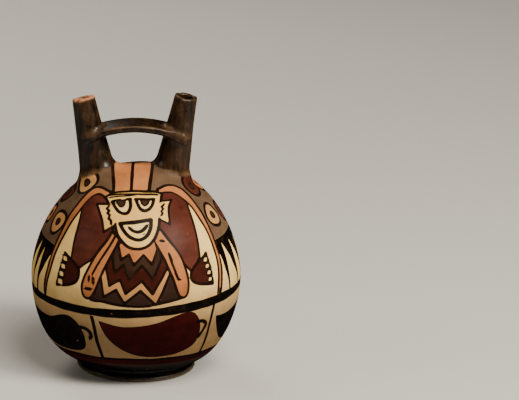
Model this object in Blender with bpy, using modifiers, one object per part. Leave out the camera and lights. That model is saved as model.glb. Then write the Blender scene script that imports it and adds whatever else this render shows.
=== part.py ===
"""Double-spout-and-bridge bottle: one fired clay vessel, hollow, open at both spouts.

Metres, +Z up. The origin is under the middle of the body, on the plane the bottle
stands on. The painted front faces -Y and the two spouts lie along X. The body, its
foot ring, the spouts and the bridge are luted together and fired as one solid.
"""

import math

import bmesh
import bpy
from mathutils import Vector

NAME = "bottle"

# Body: a dome above its widest level and a tapering bowl below it
BODY_RADIUS = 0.0750
WIDEST_LEVEL = 0.0690
BODY_TOP = 0.1483
DOME_RISE_POWER = 1.7
DOME_REACH_POWER = 2.2
BOWL_UPPER_PULL = (0.0751, 0.0440)
BOWL_LOWER_PULL = (0.0645, 0.0105)
BODY_STEPS = 60

# Foot ring: a short flare under the bowl, recessed inside
NECK_RADIUS = 0.0400
NECK_LEVEL = 0.0083
LIP_RADIUS = 0.0424
LIP_LEVEL = 0.0026
LIP_ROUND = 0.0010
FLARE_PULLS = ((0.0390, 0.0060), (0.0400, 0.0035))
RING_WIDTH = 0.0050
RECESS_DEPTH = 0.0055
RECESS_COVE = 0.0020

# Walls
WALL = 0.0045
FLOOR = 0.0060
FLOOR_EDGE = (0.0350, 0.0130)

# Spouts: tapering tubes, leaning outwards from the shoulder
RIM_RADIUS = 0.0081
RIM_ROUND = 0.0008
SPOUT_LENGTH = 0.0560
SPOUT_BASE_RADIUS = 0.0129
SPOUT_PULLS = ((0.0096, -0.0200), (0.0107, -0.0380))
ROOT_RADIUS = 0.0108
ROOT_END = -0.0650
BORE_WALL = 0.0036
BORE_OVERRUN = 0.0040
BORE_THROAT = -0.0220
BORE_FULL = -0.0500
BORE_PIERCED = 0.0104
THROAT_SHARE = 0.3
LEFT_RIM = Vector((-0.0401, 0.0, 0.1966))
LEFT_LEAN = math.radians(12.0)
LEFT_MOUTH = 0.0038
RIGHT_RIM = Vector((0.0322, 0.0, 0.1996))
RIGHT_LEAN = math.radians(9.4)
RIGHT_MOUTH = 0.0052
SPOUT_STEPS = 28

# Bridge: a flat arched strap between the spouts
ARCH_RADIUS = 0.0900
ARCH_CREST = Vector((-0.0010, 0.0, 0.1801))
ARCH_ENDS = (-0.0340, 0.0280)
STRAP_TILT = 0.066
STRAP_THICKNESS = 0.0056
STRAP_WIDTH = 0.0210
STRAP_ROUND = 0.0012
STRAP_END_SHARE = 0.84

CLAY_COLOUR = (0.085, 0.050, 0.034, 1.0)
CLAY_ROUGHNESS = 0.35
WELD = 0.00001


def bezier(start, pull_a, pull_b, end, steps):
    """Return steps + 1 points of a cubic curve, both ends included."""
    points = []
    for index in range(steps + 1):
        t = index / steps
        weights = ((1 - t) ** 3, 3 * t * (1 - t) ** 2, 3 * t * t * (1 - t), t ** 3)
        pulls = (start, pull_a, pull_b, end)
        points.append(tuple(sum(w * p[axis] for w, p in zip(weights, pulls)) for axis in (0, 1)))
    return points


def quarter_round(corner, radius, start_angle, steps=3):
    """Return the points of a clockwise quarter circle about a corner's centre."""
    turn = [start_angle - math.pi / 2 * index / steps for index in range(steps + 1)]
    return [(corner[0] + radius * math.cos(a), corner[1] + radius * math.sin(a)) for a in turn]


def dome_radius(level, radius, widest, top):
    """Return the dome's radius at a level between its widest level and its top."""
    rise = min(max((level - widest) / (top - widest), 0.0), 1.0)
    return radius * (1.0 - rise ** DOME_RISE_POWER) ** (1.0 / DOME_REACH_POWER)


def dome_outline(radius, widest, top, steps):
    """Return the dome's outline from its pole down to its widest level."""
    points = [(0.0, top)]
    for index in range(1, steps + 1):
        sweep = math.pi / 2 * (1 - index / steps)
        level = widest + (top - widest) * math.sin(sweep) ** 1.1
        points.append((dome_radius(level, radius, widest, top), level))
    return points


def body_outline():
    """Return the outline of the solid body and foot ring, top to bottom."""
    neck = (NECK_RADIUS, NECK_LEVEL)
    widest = (BODY_RADIUS, WIDEST_LEVEL)
    bowl = bezier(widest, BOWL_UPPER_PULL, BOWL_LOWER_PULL, neck, 11)[1:]
    flare = bezier(neck, *FLARE_PULLS, (LIP_RADIUS, LIP_LEVEL), 4)[1:]
    lip = quarter_round((LIP_RADIUS - LIP_ROUND, LIP_ROUND), LIP_ROUND, 0.0)
    inner_radius = LIP_RADIUS - LIP_ROUND - RING_WIDTH
    recess = [(inner_radius, 0.0), (inner_radius - RECESS_COVE, RECESS_DEPTH - RECESS_COVE / 2),
              (inner_radius - 2 * RECESS_COVE, RECESS_DEPTH), (0.0, RECESS_DEPTH)]
    return dome_outline(BODY_RADIUS, WIDEST_LEVEL, BODY_TOP, 15) + bowl + flare + lip + recess


def cavity_outline():
    """Return the outline of the hollow inside the body, one wall in from the outside."""
    widest = (BODY_RADIUS - WALL, WIDEST_LEVEL)
    lower_pull = (BOWL_LOWER_PULL[0] - WALL, BOWL_LOWER_PULL[1] + WALL)
    upper_pull = (BOWL_UPPER_PULL[0] - WALL, BOWL_UPPER_PULL[1])
    bowl = bezier(widest, upper_pull, lower_pull, FLOOR_EDGE, 8)[1:]
    dome = dome_outline(BODY_RADIUS - WALL, WIDEST_LEVEL, BODY_TOP - WALL, 10)
    return dome + bowl + [(0.0, RECESS_DEPTH + FLOOR)]


def spout_outline():
    """Return a spout's outer outline: local Z runs down from the rim's middle."""
    rim = quarter_round((RIM_RADIUS - RIM_ROUND, -RIM_ROUND), RIM_ROUND, math.pi / 2)
    base = (SPOUT_BASE_RADIUS, -SPOUT_LENGTH)
    side = bezier((RIM_RADIUS, -RIM_ROUND), *SPOUT_PULLS, base, 7)[1:]
    return [(0.0, 0.0)] + rim + side + [(ROOT_RADIUS, ROOT_END), (0.0, ROOT_END)]


def bore_outline(mouth):
    """Return a bore's outline, from above the rim down into the body's hollow."""
    inner = SPOUT_BASE_RADIUS - BORE_WALL
    throat = mouth + THROAT_SHARE * (inner - mouth)
    return [(0.0, BORE_OVERRUN), (mouth, BORE_OVERRUN), (mouth, -BORE_OVERRUN), (throat, BORE_THROAT),
            (inner, BORE_FULL), (BORE_PIERCED, ROOT_END), (0.0, ROOT_END)]


def turned(name, outline, steps, collection):
    """Return an object that turns an outline about its own Z axis into a solid."""
    mesh = bpy.data.meshes.new(name)
    points = [(radius, 0.0, level) for radius, level in outline]
    mesh.from_pydata(points, [(i, i + 1) for i in range(len(points) - 1)], [])
    item = bpy.data.objects.new(name, mesh)
    collection.objects.link(item)
    screw = item.modifiers.new("turn", "SCREW")
    screw.steps = steps
    screw.render_steps = steps
    screw.use_merge_vertices = True
    screw.merge_threshold = WELD
    screw.use_smooth_shade = True
    return item


def lean(item, rim, angle):
    """Stand a spout or its bore with its rim's middle at a point, leaning in the XZ plane."""
    item.location = rim
    item.rotation_euler = (0.0, angle, 0.0)


def arch_points(radius, centre, angles, steps):
    """Return points of an arch in a plane, from its left end to its right end."""
    start, end = angles
    sweep = [start + (end - start) * index / steps for index in range(steps + 1)]
    return [(centre[0] + radius * math.sin(a), centre[1] + radius * math.cos(a)) for a in sweep]


def make_bridge(collection):
    """Return the strap: an arched outline given its width, narrowing towards its ends.

    Its front edge is a little lower than its back edge.
    """
    centre = (ARCH_CREST.x, ARCH_CREST.z - ARCH_RADIUS)
    angles = [math.asin((end - ARCH_CREST.x) / ARCH_RADIUS) for end in ARCH_ENDS]
    inner_radius = ARCH_RADIUS - STRAP_THICKNESS
    outer = arch_points(ARCH_RADIUS - STRAP_ROUND, centre, angles, 14)
    inner = arch_points(inner_radius + STRAP_ROUND, centre, angles, 14)
    outline = outer + inner[::-1]

    curve = bpy.data.curves.new("bridge", "CURVE")
    curve.dimensions = "2D"
    curve.fill_mode = "BOTH"
    curve.extrude = STRAP_WIDTH / 2 - STRAP_ROUND
    curve.bevel_depth = STRAP_ROUND
    curve.bevel_resolution = 1
    spline = curve.splines.new("POLY")
    spline.points.add(len(outline) - 1)
    for point, (x, z) in zip(spline.points, outline):
        point.co = (x, z, 0.0, 1.0)
    spline.use_cyclic_u = True
    strap = bpy.data.objects.new("bridge_curve", curve)
    strap.rotation_euler = (math.pi / 2, 0.0, 0.0)
    collection.objects.link(strap)
    bpy.context.view_layer.update()

    graph = bpy.context.evaluated_depsgraph_get()
    mesh = bpy.data.meshes.new_from_object(strap.evaluated_get(graph))
    mesh.transform(strap.matrix_world)
    bpy.data.objects.remove(strap)
    solid = bmesh.new()
    solid.from_mesh(mesh)
    bmesh.ops.remove_doubles(solid, verts=solid.verts, dist=WELD)
    middle, half_span = (ARCH_ENDS[0] + ARCH_ENDS[1]) / 2, (ARCH_ENDS[1] - ARCH_ENDS[0]) / 2
    for vert in solid.verts:
        reach = (vert.co.x - middle) / half_span
        vert.co.y *= 1.0 - (1.0 - STRAP_END_SHARE) * reach * reach
        vert.co.z += STRAP_TILT * vert.co.y
    bmesh.ops.recalc_face_normals(solid, faces=solid.faces)
    solid.to_mesh(mesh)
    solid.free()
    bridge = bpy.data.objects.new("bridge", mesh)
    collection.objects.link(bridge)
    return bridge


def hide_guide(item):
    """Mark an object as a guide: shown as wire and left out of the finished model."""
    item.hide_render = True
    item.display_type = "WIRE"


def combine(target, guide, operation):
    """Join a guide to the target, or cut it away."""
    hide_guide(guide)
    step = target.modifiers.new(guide.name, "BOOLEAN")
    step.object = guide
    step.operation = operation


def clay_material():
    """Return the dark slipped clay."""
    material = bpy.data.materials.new("slipped_clay")
    material.use_nodes = True
    shader = material.node_tree.nodes["Principled BSDF"]
    shader.inputs["Base Color"].default_value = CLAY_COLOUR
    shader.inputs["Roughness"].default_value = CLAY_ROUGHNESS
    shader.inputs["Metallic"].default_value = 0.0
    return material


def main():
    """Build the bottle."""
    for item in list(bpy.data.objects):
        bpy.data.objects.remove(item)
    parts = bpy.data.collections.new(NAME)
    guides = bpy.data.collections.new("guides")
    for collection in (parts, guides):
        bpy.context.scene.collection.children.link(collection)

    bottle = turned(NAME, body_outline(), BODY_STEPS, parts)
    bottle.data.materials.append(clay_material())

    spouts = (("left", LEFT_RIM, -LEFT_LEAN, LEFT_MOUTH), ("right", RIGHT_RIM, RIGHT_LEAN, RIGHT_MOUTH))
    for side, rim, angle, _ in spouts:
        spout = turned(side + "_spout", spout_outline(), SPOUT_STEPS, guides)
        lean(spout, rim, angle)
        combine(bottle, spout, "UNION")
    combine(bottle, make_bridge(guides), "UNION")

    combine(bottle, turned("hollow", cavity_outline(), 44, guides), "DIFFERENCE")
    for side, rim, angle, mouth in spouts:
        bore = turned(side + "_bore", bore_outline(mouth), 20, guides)
        lean(bore, rim, angle)
        combine(bottle, bore, "DIFFERENCE")


main()
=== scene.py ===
"""Painted double-spout-and-bridge bottle: its looks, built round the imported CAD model.

The whole vessel is one fired piece, so one mesh stands for it. Its form is written as a
signed distance in millimetres (negative in the clay), turned into a quad mesh, and then
painted. Every painted area is a signed distance stored on the vertices, which the finish
turns into slip colours and ink lines. Wear at the rims and joints is stored there too, and
the slip's mottling, grime and small losses come from the finish's own noise.
"""

import logging
import math
from collections.abc import Sequence
from dataclasses import dataclass, field
from enum import Enum
from typing import Any

import bpy
import numpy as np
from mathutils import Matrix, Vector

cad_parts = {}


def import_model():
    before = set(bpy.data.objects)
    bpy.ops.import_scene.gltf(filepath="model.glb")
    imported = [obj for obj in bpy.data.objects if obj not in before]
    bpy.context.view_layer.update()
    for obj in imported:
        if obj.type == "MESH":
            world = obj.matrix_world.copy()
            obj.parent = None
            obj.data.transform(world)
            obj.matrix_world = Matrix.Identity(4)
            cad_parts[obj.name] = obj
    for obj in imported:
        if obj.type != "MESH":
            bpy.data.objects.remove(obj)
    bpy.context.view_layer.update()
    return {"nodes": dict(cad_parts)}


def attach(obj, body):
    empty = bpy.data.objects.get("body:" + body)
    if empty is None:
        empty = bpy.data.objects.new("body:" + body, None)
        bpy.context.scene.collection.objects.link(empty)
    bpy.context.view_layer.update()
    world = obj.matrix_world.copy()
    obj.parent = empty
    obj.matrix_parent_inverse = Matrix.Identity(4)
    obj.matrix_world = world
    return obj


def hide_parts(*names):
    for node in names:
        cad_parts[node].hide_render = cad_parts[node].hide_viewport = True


Array = np.ndarray
Point = Sequence[float]
Points = Sequence[Point]
Colour = tuple[float, float, float, float]

LOG = logging.getLogger("bottle")
PIECE = "painted_bottle"
MILLIMETRE = 0.001
FAR = 9.0            # the greatest distance kept on a vertex, mm
INK_WEIGHT = 1.5     # how much wider the ink is laid than a line's given half width
STROKE_LAYERS = 4    # ink lines that may run close together at one place


# ------------------------------ outlines

def bezier(start: Point, pull_a: Point, pull_b: Point, end: Point, steps: int) -> Array:
    """Return a cubic curve: the four points' sum, weighted by the cubic's four terms.

    Args:
        start: The curve's first (x, y) point.
        pull_a: The point that the curve sets out towards.
        pull_b: The point that the curve comes in from.
        end: The curve's last point.
        steps: How many spans the curve is cut into.

    Returns:
        Array of steps + 1 points, both ends included.
    """
    t = np.linspace(0.0, 1.0, steps + 1)[:, None]
    a, b, c, d = (np.array(p, float) for p in (start, pull_a, pull_b, end))
    return (1 - t) ** 3 * a + 3 * t * (1 - t) ** 2 * b + 3 * t * t * (1 - t) * c + t ** 3 * d


def rounded(centre: Point, radius: float, start: float, end: float, steps: int = 5) -> Array:
    """Return the points of a circle's arc between two angles in degrees."""
    sweep = np.radians(np.linspace(start, end, steps + 1))
    return np.stack([centre[0] + radius * np.cos(sweep), centre[1] + radius * np.sin(sweep)], 1)


def half_turn(angles: Array) -> Array:
    """Return angles in radians, brought between minus and plus half a turn."""
    return (angles + math.pi) % (2 * math.pi) - math.pi


def distance_to_line(points: Array, line: Array, closed: bool) -> tuple[Array, Array, Array]:
    """Return the nearest distance from points to a line of straight spans.

    A span's nearest point is the foot of the perpendicular, held between its ends.

    Args:
        points: Array (n, 2).
        line: Array (m, 2) of the line's corners.
        closed: Whether the last corner joins the first.

    Returns:
        (distance, offset to the nearest point (n, 2), side): side is +1 on the left of
        the nearest span and -1 on its right.
    """
    starts = line if closed else line[:-1]
    ends = np.roll(line, -1, 0) if closed else line[1:]
    best = np.full(len(points), np.inf)
    offset = np.zeros((len(points), 2))
    side = np.ones(len(points))
    for start, end in zip(starts, ends):
        span = end - start
        length = float(span @ span)
        if length == 0.0:
            continue
        away = points - start
        along = np.clip(away @ span / length, 0.0, 1.0)
        gap = away - along[:, None] * span
        square = (gap * gap).sum(1)
        near = square < best
        best[near] = square[near]
        offset[near] = gap[near]
        cross = span[0] * away[:, 1] - span[1] * away[:, 0]
        side[near] = np.where(cross[near] >= 0.0, 1.0, -1.0)
    return np.sqrt(best), offset, side


def inside_outline(points: Array, outline: Array) -> Array:
    """Return which points lie inside a closed outline, by the even-odd rule.

    Args:
        points: Array (n, 2).
        outline: Array (m, 2) of the outline's corners.

    Returns:
        Array (n) of true and false.
    """
    inside = np.zeros(len(points), bool)
    x, y = points[:, 0], points[:, 1]
    for (ax, ay), (bx, by) in zip(outline, np.roll(outline, -1, 0)):
        if ay == by:
            continue
        crosses = (ay > y) != (by > y)
        inside ^= crosses & (x < (bx - ax) * (y - ay) / (by - ay) + ax)
    return inside


@dataclass
class Turned:
    """A shape turned about an axis, kept as a table of signed distances (mm)."""

    outline: Array
    pitch: float = 0.5
    margin: float = 14.0
    low: float = field(init=False)
    table: Array = field(init=False)

    def __post_init__(self) -> None:
        """Fill the table over the half plane, from the axis to past the outline."""
        self.low = self.outline[:, 1].min() - self.margin
        radii = np.arange(0.0, self.outline[:, 0].max() + self.margin, self.pitch)
        heights = np.arange(self.low, self.outline[:, 1].max() + self.margin, self.pitch)
        grid_r, grid_h = np.meshgrid(radii, heights, indexing="ij")
        points = np.stack([grid_r.ravel(), grid_h.ravel()], 1)
        away, _, _ = distance_to_line(points, self.outline, closed=False)
        inside = inside_outline(points, self.outline)
        self.table = np.where(inside, -away, away).reshape(grid_r.shape)

    def distance(self, radius: Array, height: Array) -> Array:
        """Return the signed distance, weighted between the table's four nearest values.

        Args:
            radius: Distances from the axis.
            height: Heights along it.

        Returns:
            The distances, negative inside.
        """
        last = 1.001    # keeps the lookup inside the table's last cell
        u = np.clip(radius / self.pitch, 0.0, self.table.shape[0] - last)
        v = np.clip((height - self.low) / self.pitch, 0.0, self.table.shape[1] - last)
        i, j = u.astype(np.int32), v.astype(np.int32)
        u, v = u - i, v - j
        t = self.table
        return ((1 - u) * ((1 - v) * t[i, j] + v * t[i, j + 1])
                + u * ((1 - v) * t[i + 1, j] + v * t[i + 1, j + 1]))


# ------------------------------ the form

def soft_min(a: Array, b: Array, blend: float) -> Array:
    """Return the smaller of two distances, with a fillet where they differ by less than the blend."""
    # a quarter of the blend comes off, times the square of the share by which they are nearer
    mix = np.maximum(blend - np.abs(a - b), 0.0) / blend
    return np.minimum(a, b) - mix * mix * blend * 0.25


def soft_max(a: Array, b: Array, blend: float) -> Array:
    """Return the larger of two distances, with the edge between them worn round."""
    return -soft_min(-a, -b, blend)


@dataclass
class Body:
    """The round body with its foot ring, and the hollow inside it (mm)."""

    radius: float = 75.0
    widest: float = 69.0
    top: float = 148.3
    wall: float = 4.5
    floor: float = 11.5
    foot_aside: float = 1.6
    rise_power: float = 1.1
    crown_power: float = 1.7
    shoulder_power: float = 2.2
    bowl_pulls: Points = ((75.1, 44.0), (64.5, 10.5))
    waist: Point = (40.0, 8.3)
    flare_pulls: Points = ((39.0, 6.0), (40.0, 3.5))
    flare_end: Point = (42.4, 2.6)
    lip_middle: Point = (41.4, 1.0)
    lip_radius: float = 1.0
    recess: Points = ((36.4, 0.0), (35.6, 1.6), (34.4, 5.0), (32.4, 5.5), (0.0, 5.5))
    hollow_pulls: Points = ((70.6, 44.0), (60.0, 15.0))
    hollow_end: Point = (35.0, 13.0)
    outer: Turned = field(init=False)
    inner: Turned = field(init=False)
    arcs: Array = field(init=False)
    path: Array = field(init=False)

    def __post_init__(self) -> None:
        """Turn the outside and the hollow, and measure the painted wall's path upwards."""
        dome = self.dome(self.radius, self.top, 60)
        bowl = bezier((self.radius, self.widest), *self.bowl_pulls, self.waist, 44)[1:]
        flare = bezier(self.waist, *self.flare_pulls, self.flare_end, 8)[1:]
        lip = rounded(self.lip_middle, self.lip_radius, 60.0, -90.0)
        self.outer = Turned(np.concatenate([dome, bowl, flare, lip, self.recess]))
        inside = self.radius - self.wall
        ceiling = self.dome(inside, self.top - self.wall, 50)
        hollow = bezier((inside, self.widest), *self.hollow_pulls, self.hollow_end, 30)[1:]
        self.inner = Turned(np.concatenate([ceiling, hollow, [(0.0, self.floor)]]))
        self.path = np.concatenate([dome, bowl])[::-1]
        steps = np.sqrt((np.diff(self.path, axis=0) ** 2).sum(1))
        self.arcs = np.concatenate([[0.0], np.cumsum(steps)])
        self.arcs -= self.arcs[np.argmin(np.abs(self.path[:, 1] - self.widest))]

    def dome(self, radius: float, top: float, steps: int) -> Array:
        """Return the dome's outline from its pole down to the widest level.

        The height rises as a power of a sine. The radius is what is left of one, less a
        power of that rise, under a root: a rather flat crown and a full shoulder.

        Args:
            radius: The dome's radius at the widest level.
            top: The height of its pole.
            steps: How many spans it is cut into.

        Returns:
            Array of (radius, height) points.
        """
        sweep = np.linspace(1.0, 0.0, steps + 1) * math.pi / 2
        rise = np.sin(sweep) ** self.rise_power
        reach = radius * np.maximum(1.0 - rise ** self.crown_power, 0.0) ** (1 / self.shoulder_power)
        return np.stack([reach, self.widest + (top - self.widest) * rise], 1)

    def wobble(self, p: Array) -> Array:
        """Return how far the hand-built wall stands out: three waves that fade at the foot.

        Args:
            p: Points (n, 3).

        Returns:
            The outward shift at each point, mm.
        """
        turn = np.arctan2(p[:, 0], -p[:, 1])
        z = p[:, 2]
        fade = np.clip((z - 8.0) / 20.0, 0.0, 1.0)
        return fade * (0.22 * np.sin(2 * turn + 0.9 + z / 60) + 0.14 * np.sin(3 * turn - z / 23)
                       + 0.09 * np.sin(5 * turn + z / 14 + 2.0))

    def reach_at(self, arc: Array | float) -> Array:
        """Return the wall's radius at a distance up the wall from the widest level."""
        return np.interp(arc, self.arcs, self.path[:, 0])

    def place(self, p: Array) -> tuple[Array, Array, Array]:
        """Return where points lie on the painted wall, by their angles from its middle.

        Args:
            p: Points (n, 3).

        Returns:
            (turn, arc, reach): the angle from the front in radians, positive towards +X;
            the distance up the wall from the widest level in mm; and the wall's radius.
        """
        turn = np.arctan2(p[:, 0], -p[:, 1])
        radius = np.hypot(p[:, 0], p[:, 1])
        lift = np.arctan2(p[:, 2] - self.widest, radius)
        lifts = np.arctan2(self.path[:, 1] - self.widest, self.path[:, 0])
        arc = np.interp(lift, lifts, self.arcs)
        return turn, arc, self.reach_at(arc)


@dataclass
class Spout:
    """A tapering, leaning tube with a bore (mm); its rim's middle is a point of XZ."""

    rim: Point
    lean: float
    mouth: float
    tilt: float = 0.0
    turn: float = 0.0
    lip_middle: Point = (7.2, -0.9)
    lip_radius: float = 0.9
    side_top: Point = (8.1, -0.9)
    side_pulls: Points = ((9.6, -20.0), (10.7, -38.0))
    side_end: Point = (12.9, -56.0)
    root: Points = ((11.4, -72.0), (0.0, -72.0))
    mouth_flare: float = 0.7
    bore_wide: float = 9.3
    bore_root: Points = ((10.4, -65.0), (0.0, -65.0))
    skin: Turned = field(init=False)
    bore: Turned = field(init=False)

    def __post_init__(self) -> None:
        """Turn the tube's outside, and the bore that widens downwards from the mouth."""
        side = bezier(self.side_top, *self.side_pulls, self.side_end, 16)[1:]
        lip = rounded(self.lip_middle, self.lip_radius, 90.0, 0.0)
        self.skin = Turned(np.concatenate([[(0.0, 0.0)], lip, side, self.root]))
        flared = self.mouth + self.mouth_flare
        throat = self.mouth + 0.3 * (self.bore_wide - self.mouth)
        self.bore = Turned(np.array([(0.0, 9.0), (flared, 9.0), (flared, 0.6), (self.mouth, -0.8),
                                     (self.mouth, -4.0), (throat, -22.0), (self.bore_wide, -50.0),
                                     *self.bore_root]))

    def local(self, p: Array) -> tuple[Array, Array, Array]:
        """Return where points lie about the leaning axis, turning them in the XZ plane.

        Args:
            p: Points (n, 3).

        Returns:
            (distance from the axis, height along it from the rim, turn about it).
        """
        s, c = math.sin(self.lean), math.cos(self.lean)
        x, z = p[:, 0] - self.rim[0], p[:, 2] - self.rim[1]
        height = x * s + z * c
        across = x * c - z * s
        return np.hypot(across, p[:, 1]), height, np.arctan2(across, -p[:, 1])

    def skin_distance(self, p: Array) -> Array:
        """Return the signed distance to the outside: a turned shape with three shallow waves.

        The rim tilts and wavers too, less and less for 8 mm down from the mouth.

        Args:
            p: Points (n, 3).

        Returns:
            The distances, negative in the tube.
        """
        radius, height, turn = self.local(p)
        near_rim = np.clip(1.0 + height / 8.0, 0.0, 1.0)
        uneven = near_rim * (self.tilt * p[:, 1] + 0.16 * np.sin(2 * turn + self.turn)
                             + 0.12 * np.sin(5 * turn + 1.7))
        wavy = (0.12 * np.sin(2 * turn + height / 9.0) + 0.08 * np.sin(3 * turn - height / 6.0)
                + 0.07 * np.sin(8 * turn + self.turn + 0.4 * np.sin(height / 11.0)))
        return self.skin.distance(radius, height + uneven) + wavy

    def bore_distance(self, p: Array) -> Array:
        """Return the signed distance to the bore."""
        radius, height, _ = self.local(p)
        return self.bore.distance(radius, height)


@dataclass
class Bridge:
    """The flat arched strap between the spouts (mm)."""

    crest: Point = (-1.0, 180.1)
    arch: float = 90.0
    tilt: float = 0.066
    thick: float = 5.6
    width: float = 21.0
    round_off: float = 1.5
    crown: float = 0.35
    uneven: float = 0.25
    ends: Point = (-37.2, 33.8)
    end_share: float = 1.03

    def above(self, p: Array) -> Array:
        """Return how far points lie above the strap's upper face, along the arch's radius."""
        z = p[:, 2] - self.tilt * p[:, 1] - (self.crest[1] - self.arch)
        return np.hypot(p[:, 0] - self.crest[0], z) - self.arch

    def distance(self, p: Array) -> Array:
        """Return the signed distance to the strap: a bent plank with rounded edges.

        The distances past its sides, faces and ends are found apart and then joined as
        for a box. The plank widens a little towards its ends, and its upper face swells.

        Args:
            p: Points (n, 3).

        Returns:
            The distances, negative in the strap.
        """
        x = p[:, 0] - self.crest[0]
        middle = self.arch - self.thick / 2
        radius = self.above(p) + self.arch
        share = np.clip(np.abs(x) / self.ends[1], 0.0, 1.2) ** 2
        half = 0.5 * self.width * (1.0 - (1.0 - self.end_share) * share)
        half = half + self.uneven * np.sin(x / 8.0 + np.sign(p[:, 1]))
        across = np.abs(p[:, 1]) - half
        swell = self.crown * np.clip(1.0 - (p[:, 1] / half) ** 2, 0.0, 1.0) * (radius > middle)
        up = np.abs(radius - middle) - self.thick / 2 - swell + self.crown
        end = np.maximum(x - self.ends[1], self.ends[0] - x)
        gaps = np.stack([across, up, end], 1) + self.round_off
        outside = np.sqrt((np.maximum(gaps, 0.0) ** 2).sum(1))
        return outside + np.minimum(gaps.max(1), 0.0) - self.round_off


@dataclass
class Vessel:
    """The whole fired piece: body, two spouts and bridge, smoothed into one another (mm)."""

    body: Body = field(default_factory=Body)
    left: Spout = field(default_factory=lambda: Spout(
        rim=(-40.1, 196.6), lean=-math.radians(12.0), mouth=3.8, tilt=0.12, turn=0.5))
    right: Spout = field(default_factory=lambda: Spout(
        rim=(32.2, 199.6), lean=math.radians(9.4), mouth=5.2, tilt=-0.07, turn=2.2))
    bridge: Bridge = field(default_factory=Bridge)
    chips: tuple = (((36.6, -6.4, 200.4), 1.7), ((25.9, 5.6, 200.9), 1.5), ((-44.2, -6.2, 196.5), 1.4),
                    ((-34.6, 5.6, 198.9), 1.6))
    spouts_from: float = 118.0
    bores_from: float = 110.0
    strap_fillet: float = 3.4
    dome_fillet: float = 10.0
    chip_fillet: float = 1.2
    bore_fillet: float = 2.0

    def tubes(self, p: Array) -> Array:
        """Return the signed distance to the nearer spout's outside."""
        return np.minimum(self.left.skin_distance(p), self.right.skin_distance(p))

    def outer_distance(self, p: Array) -> Array:
        """Return the signed distance to the outside, as if the piece were solid.

        Spouts and strap are joined by a small fillet, and that pair joins the body by a
        large one. Balls are taken out of the rims as chips. The foot sits a little aside.

        Args:
            p: Points (n, 3).

        Returns:
            The distances, negative inside.
        """
        aside = self.body.foot_aside * np.clip((30.0 - p[:, 2]) / 24.0, 0.0, 1.0) ** 2
        radius = np.hypot(p[:, 0] - aside, p[:, 1])
        clay = self.body.outer.distance(radius, p[:, 2]) - self.body.wobble(p)
        high = p[:, 2] > self.spouts_from
        q = p[high]
        if len(q):
            handle = soft_min(self.tubes(q), self.bridge.distance(q), self.strap_fillet)
            clay[high] = soft_min(clay[high], handle, self.dome_fillet)
            for centre, size in self.chips:
                chip = np.sqrt(((q - centre) ** 2).sum(1)) - size
                clay[high] = soft_max(clay[high], -chip, self.chip_fillet)
        return clay

    def hollow_distance(self, p: Array) -> Array:
        """Return the signed distance to the empty space: the turned hollow and two bores.

        Args:
            p: Points (n, 3).

        Returns:
            The distances, negative in the empty space.
        """
        radius = np.hypot(p[:, 0], p[:, 1])
        space = self.body.inner.distance(radius, p[:, 2])
        high = p[:, 2] > self.bores_from
        q = p[high]
        if len(q):
            bores = np.minimum(self.left.bore_distance(q), self.right.bore_distance(q))
            space[high] = soft_min(space[high], bores, self.bore_fillet)
        return space

    def distance(self, p: Array) -> Array:
        """Return the signed distance to the hollow piece."""
        return np.maximum(self.outer_distance(p), -self.hollow_distance(p))


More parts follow.
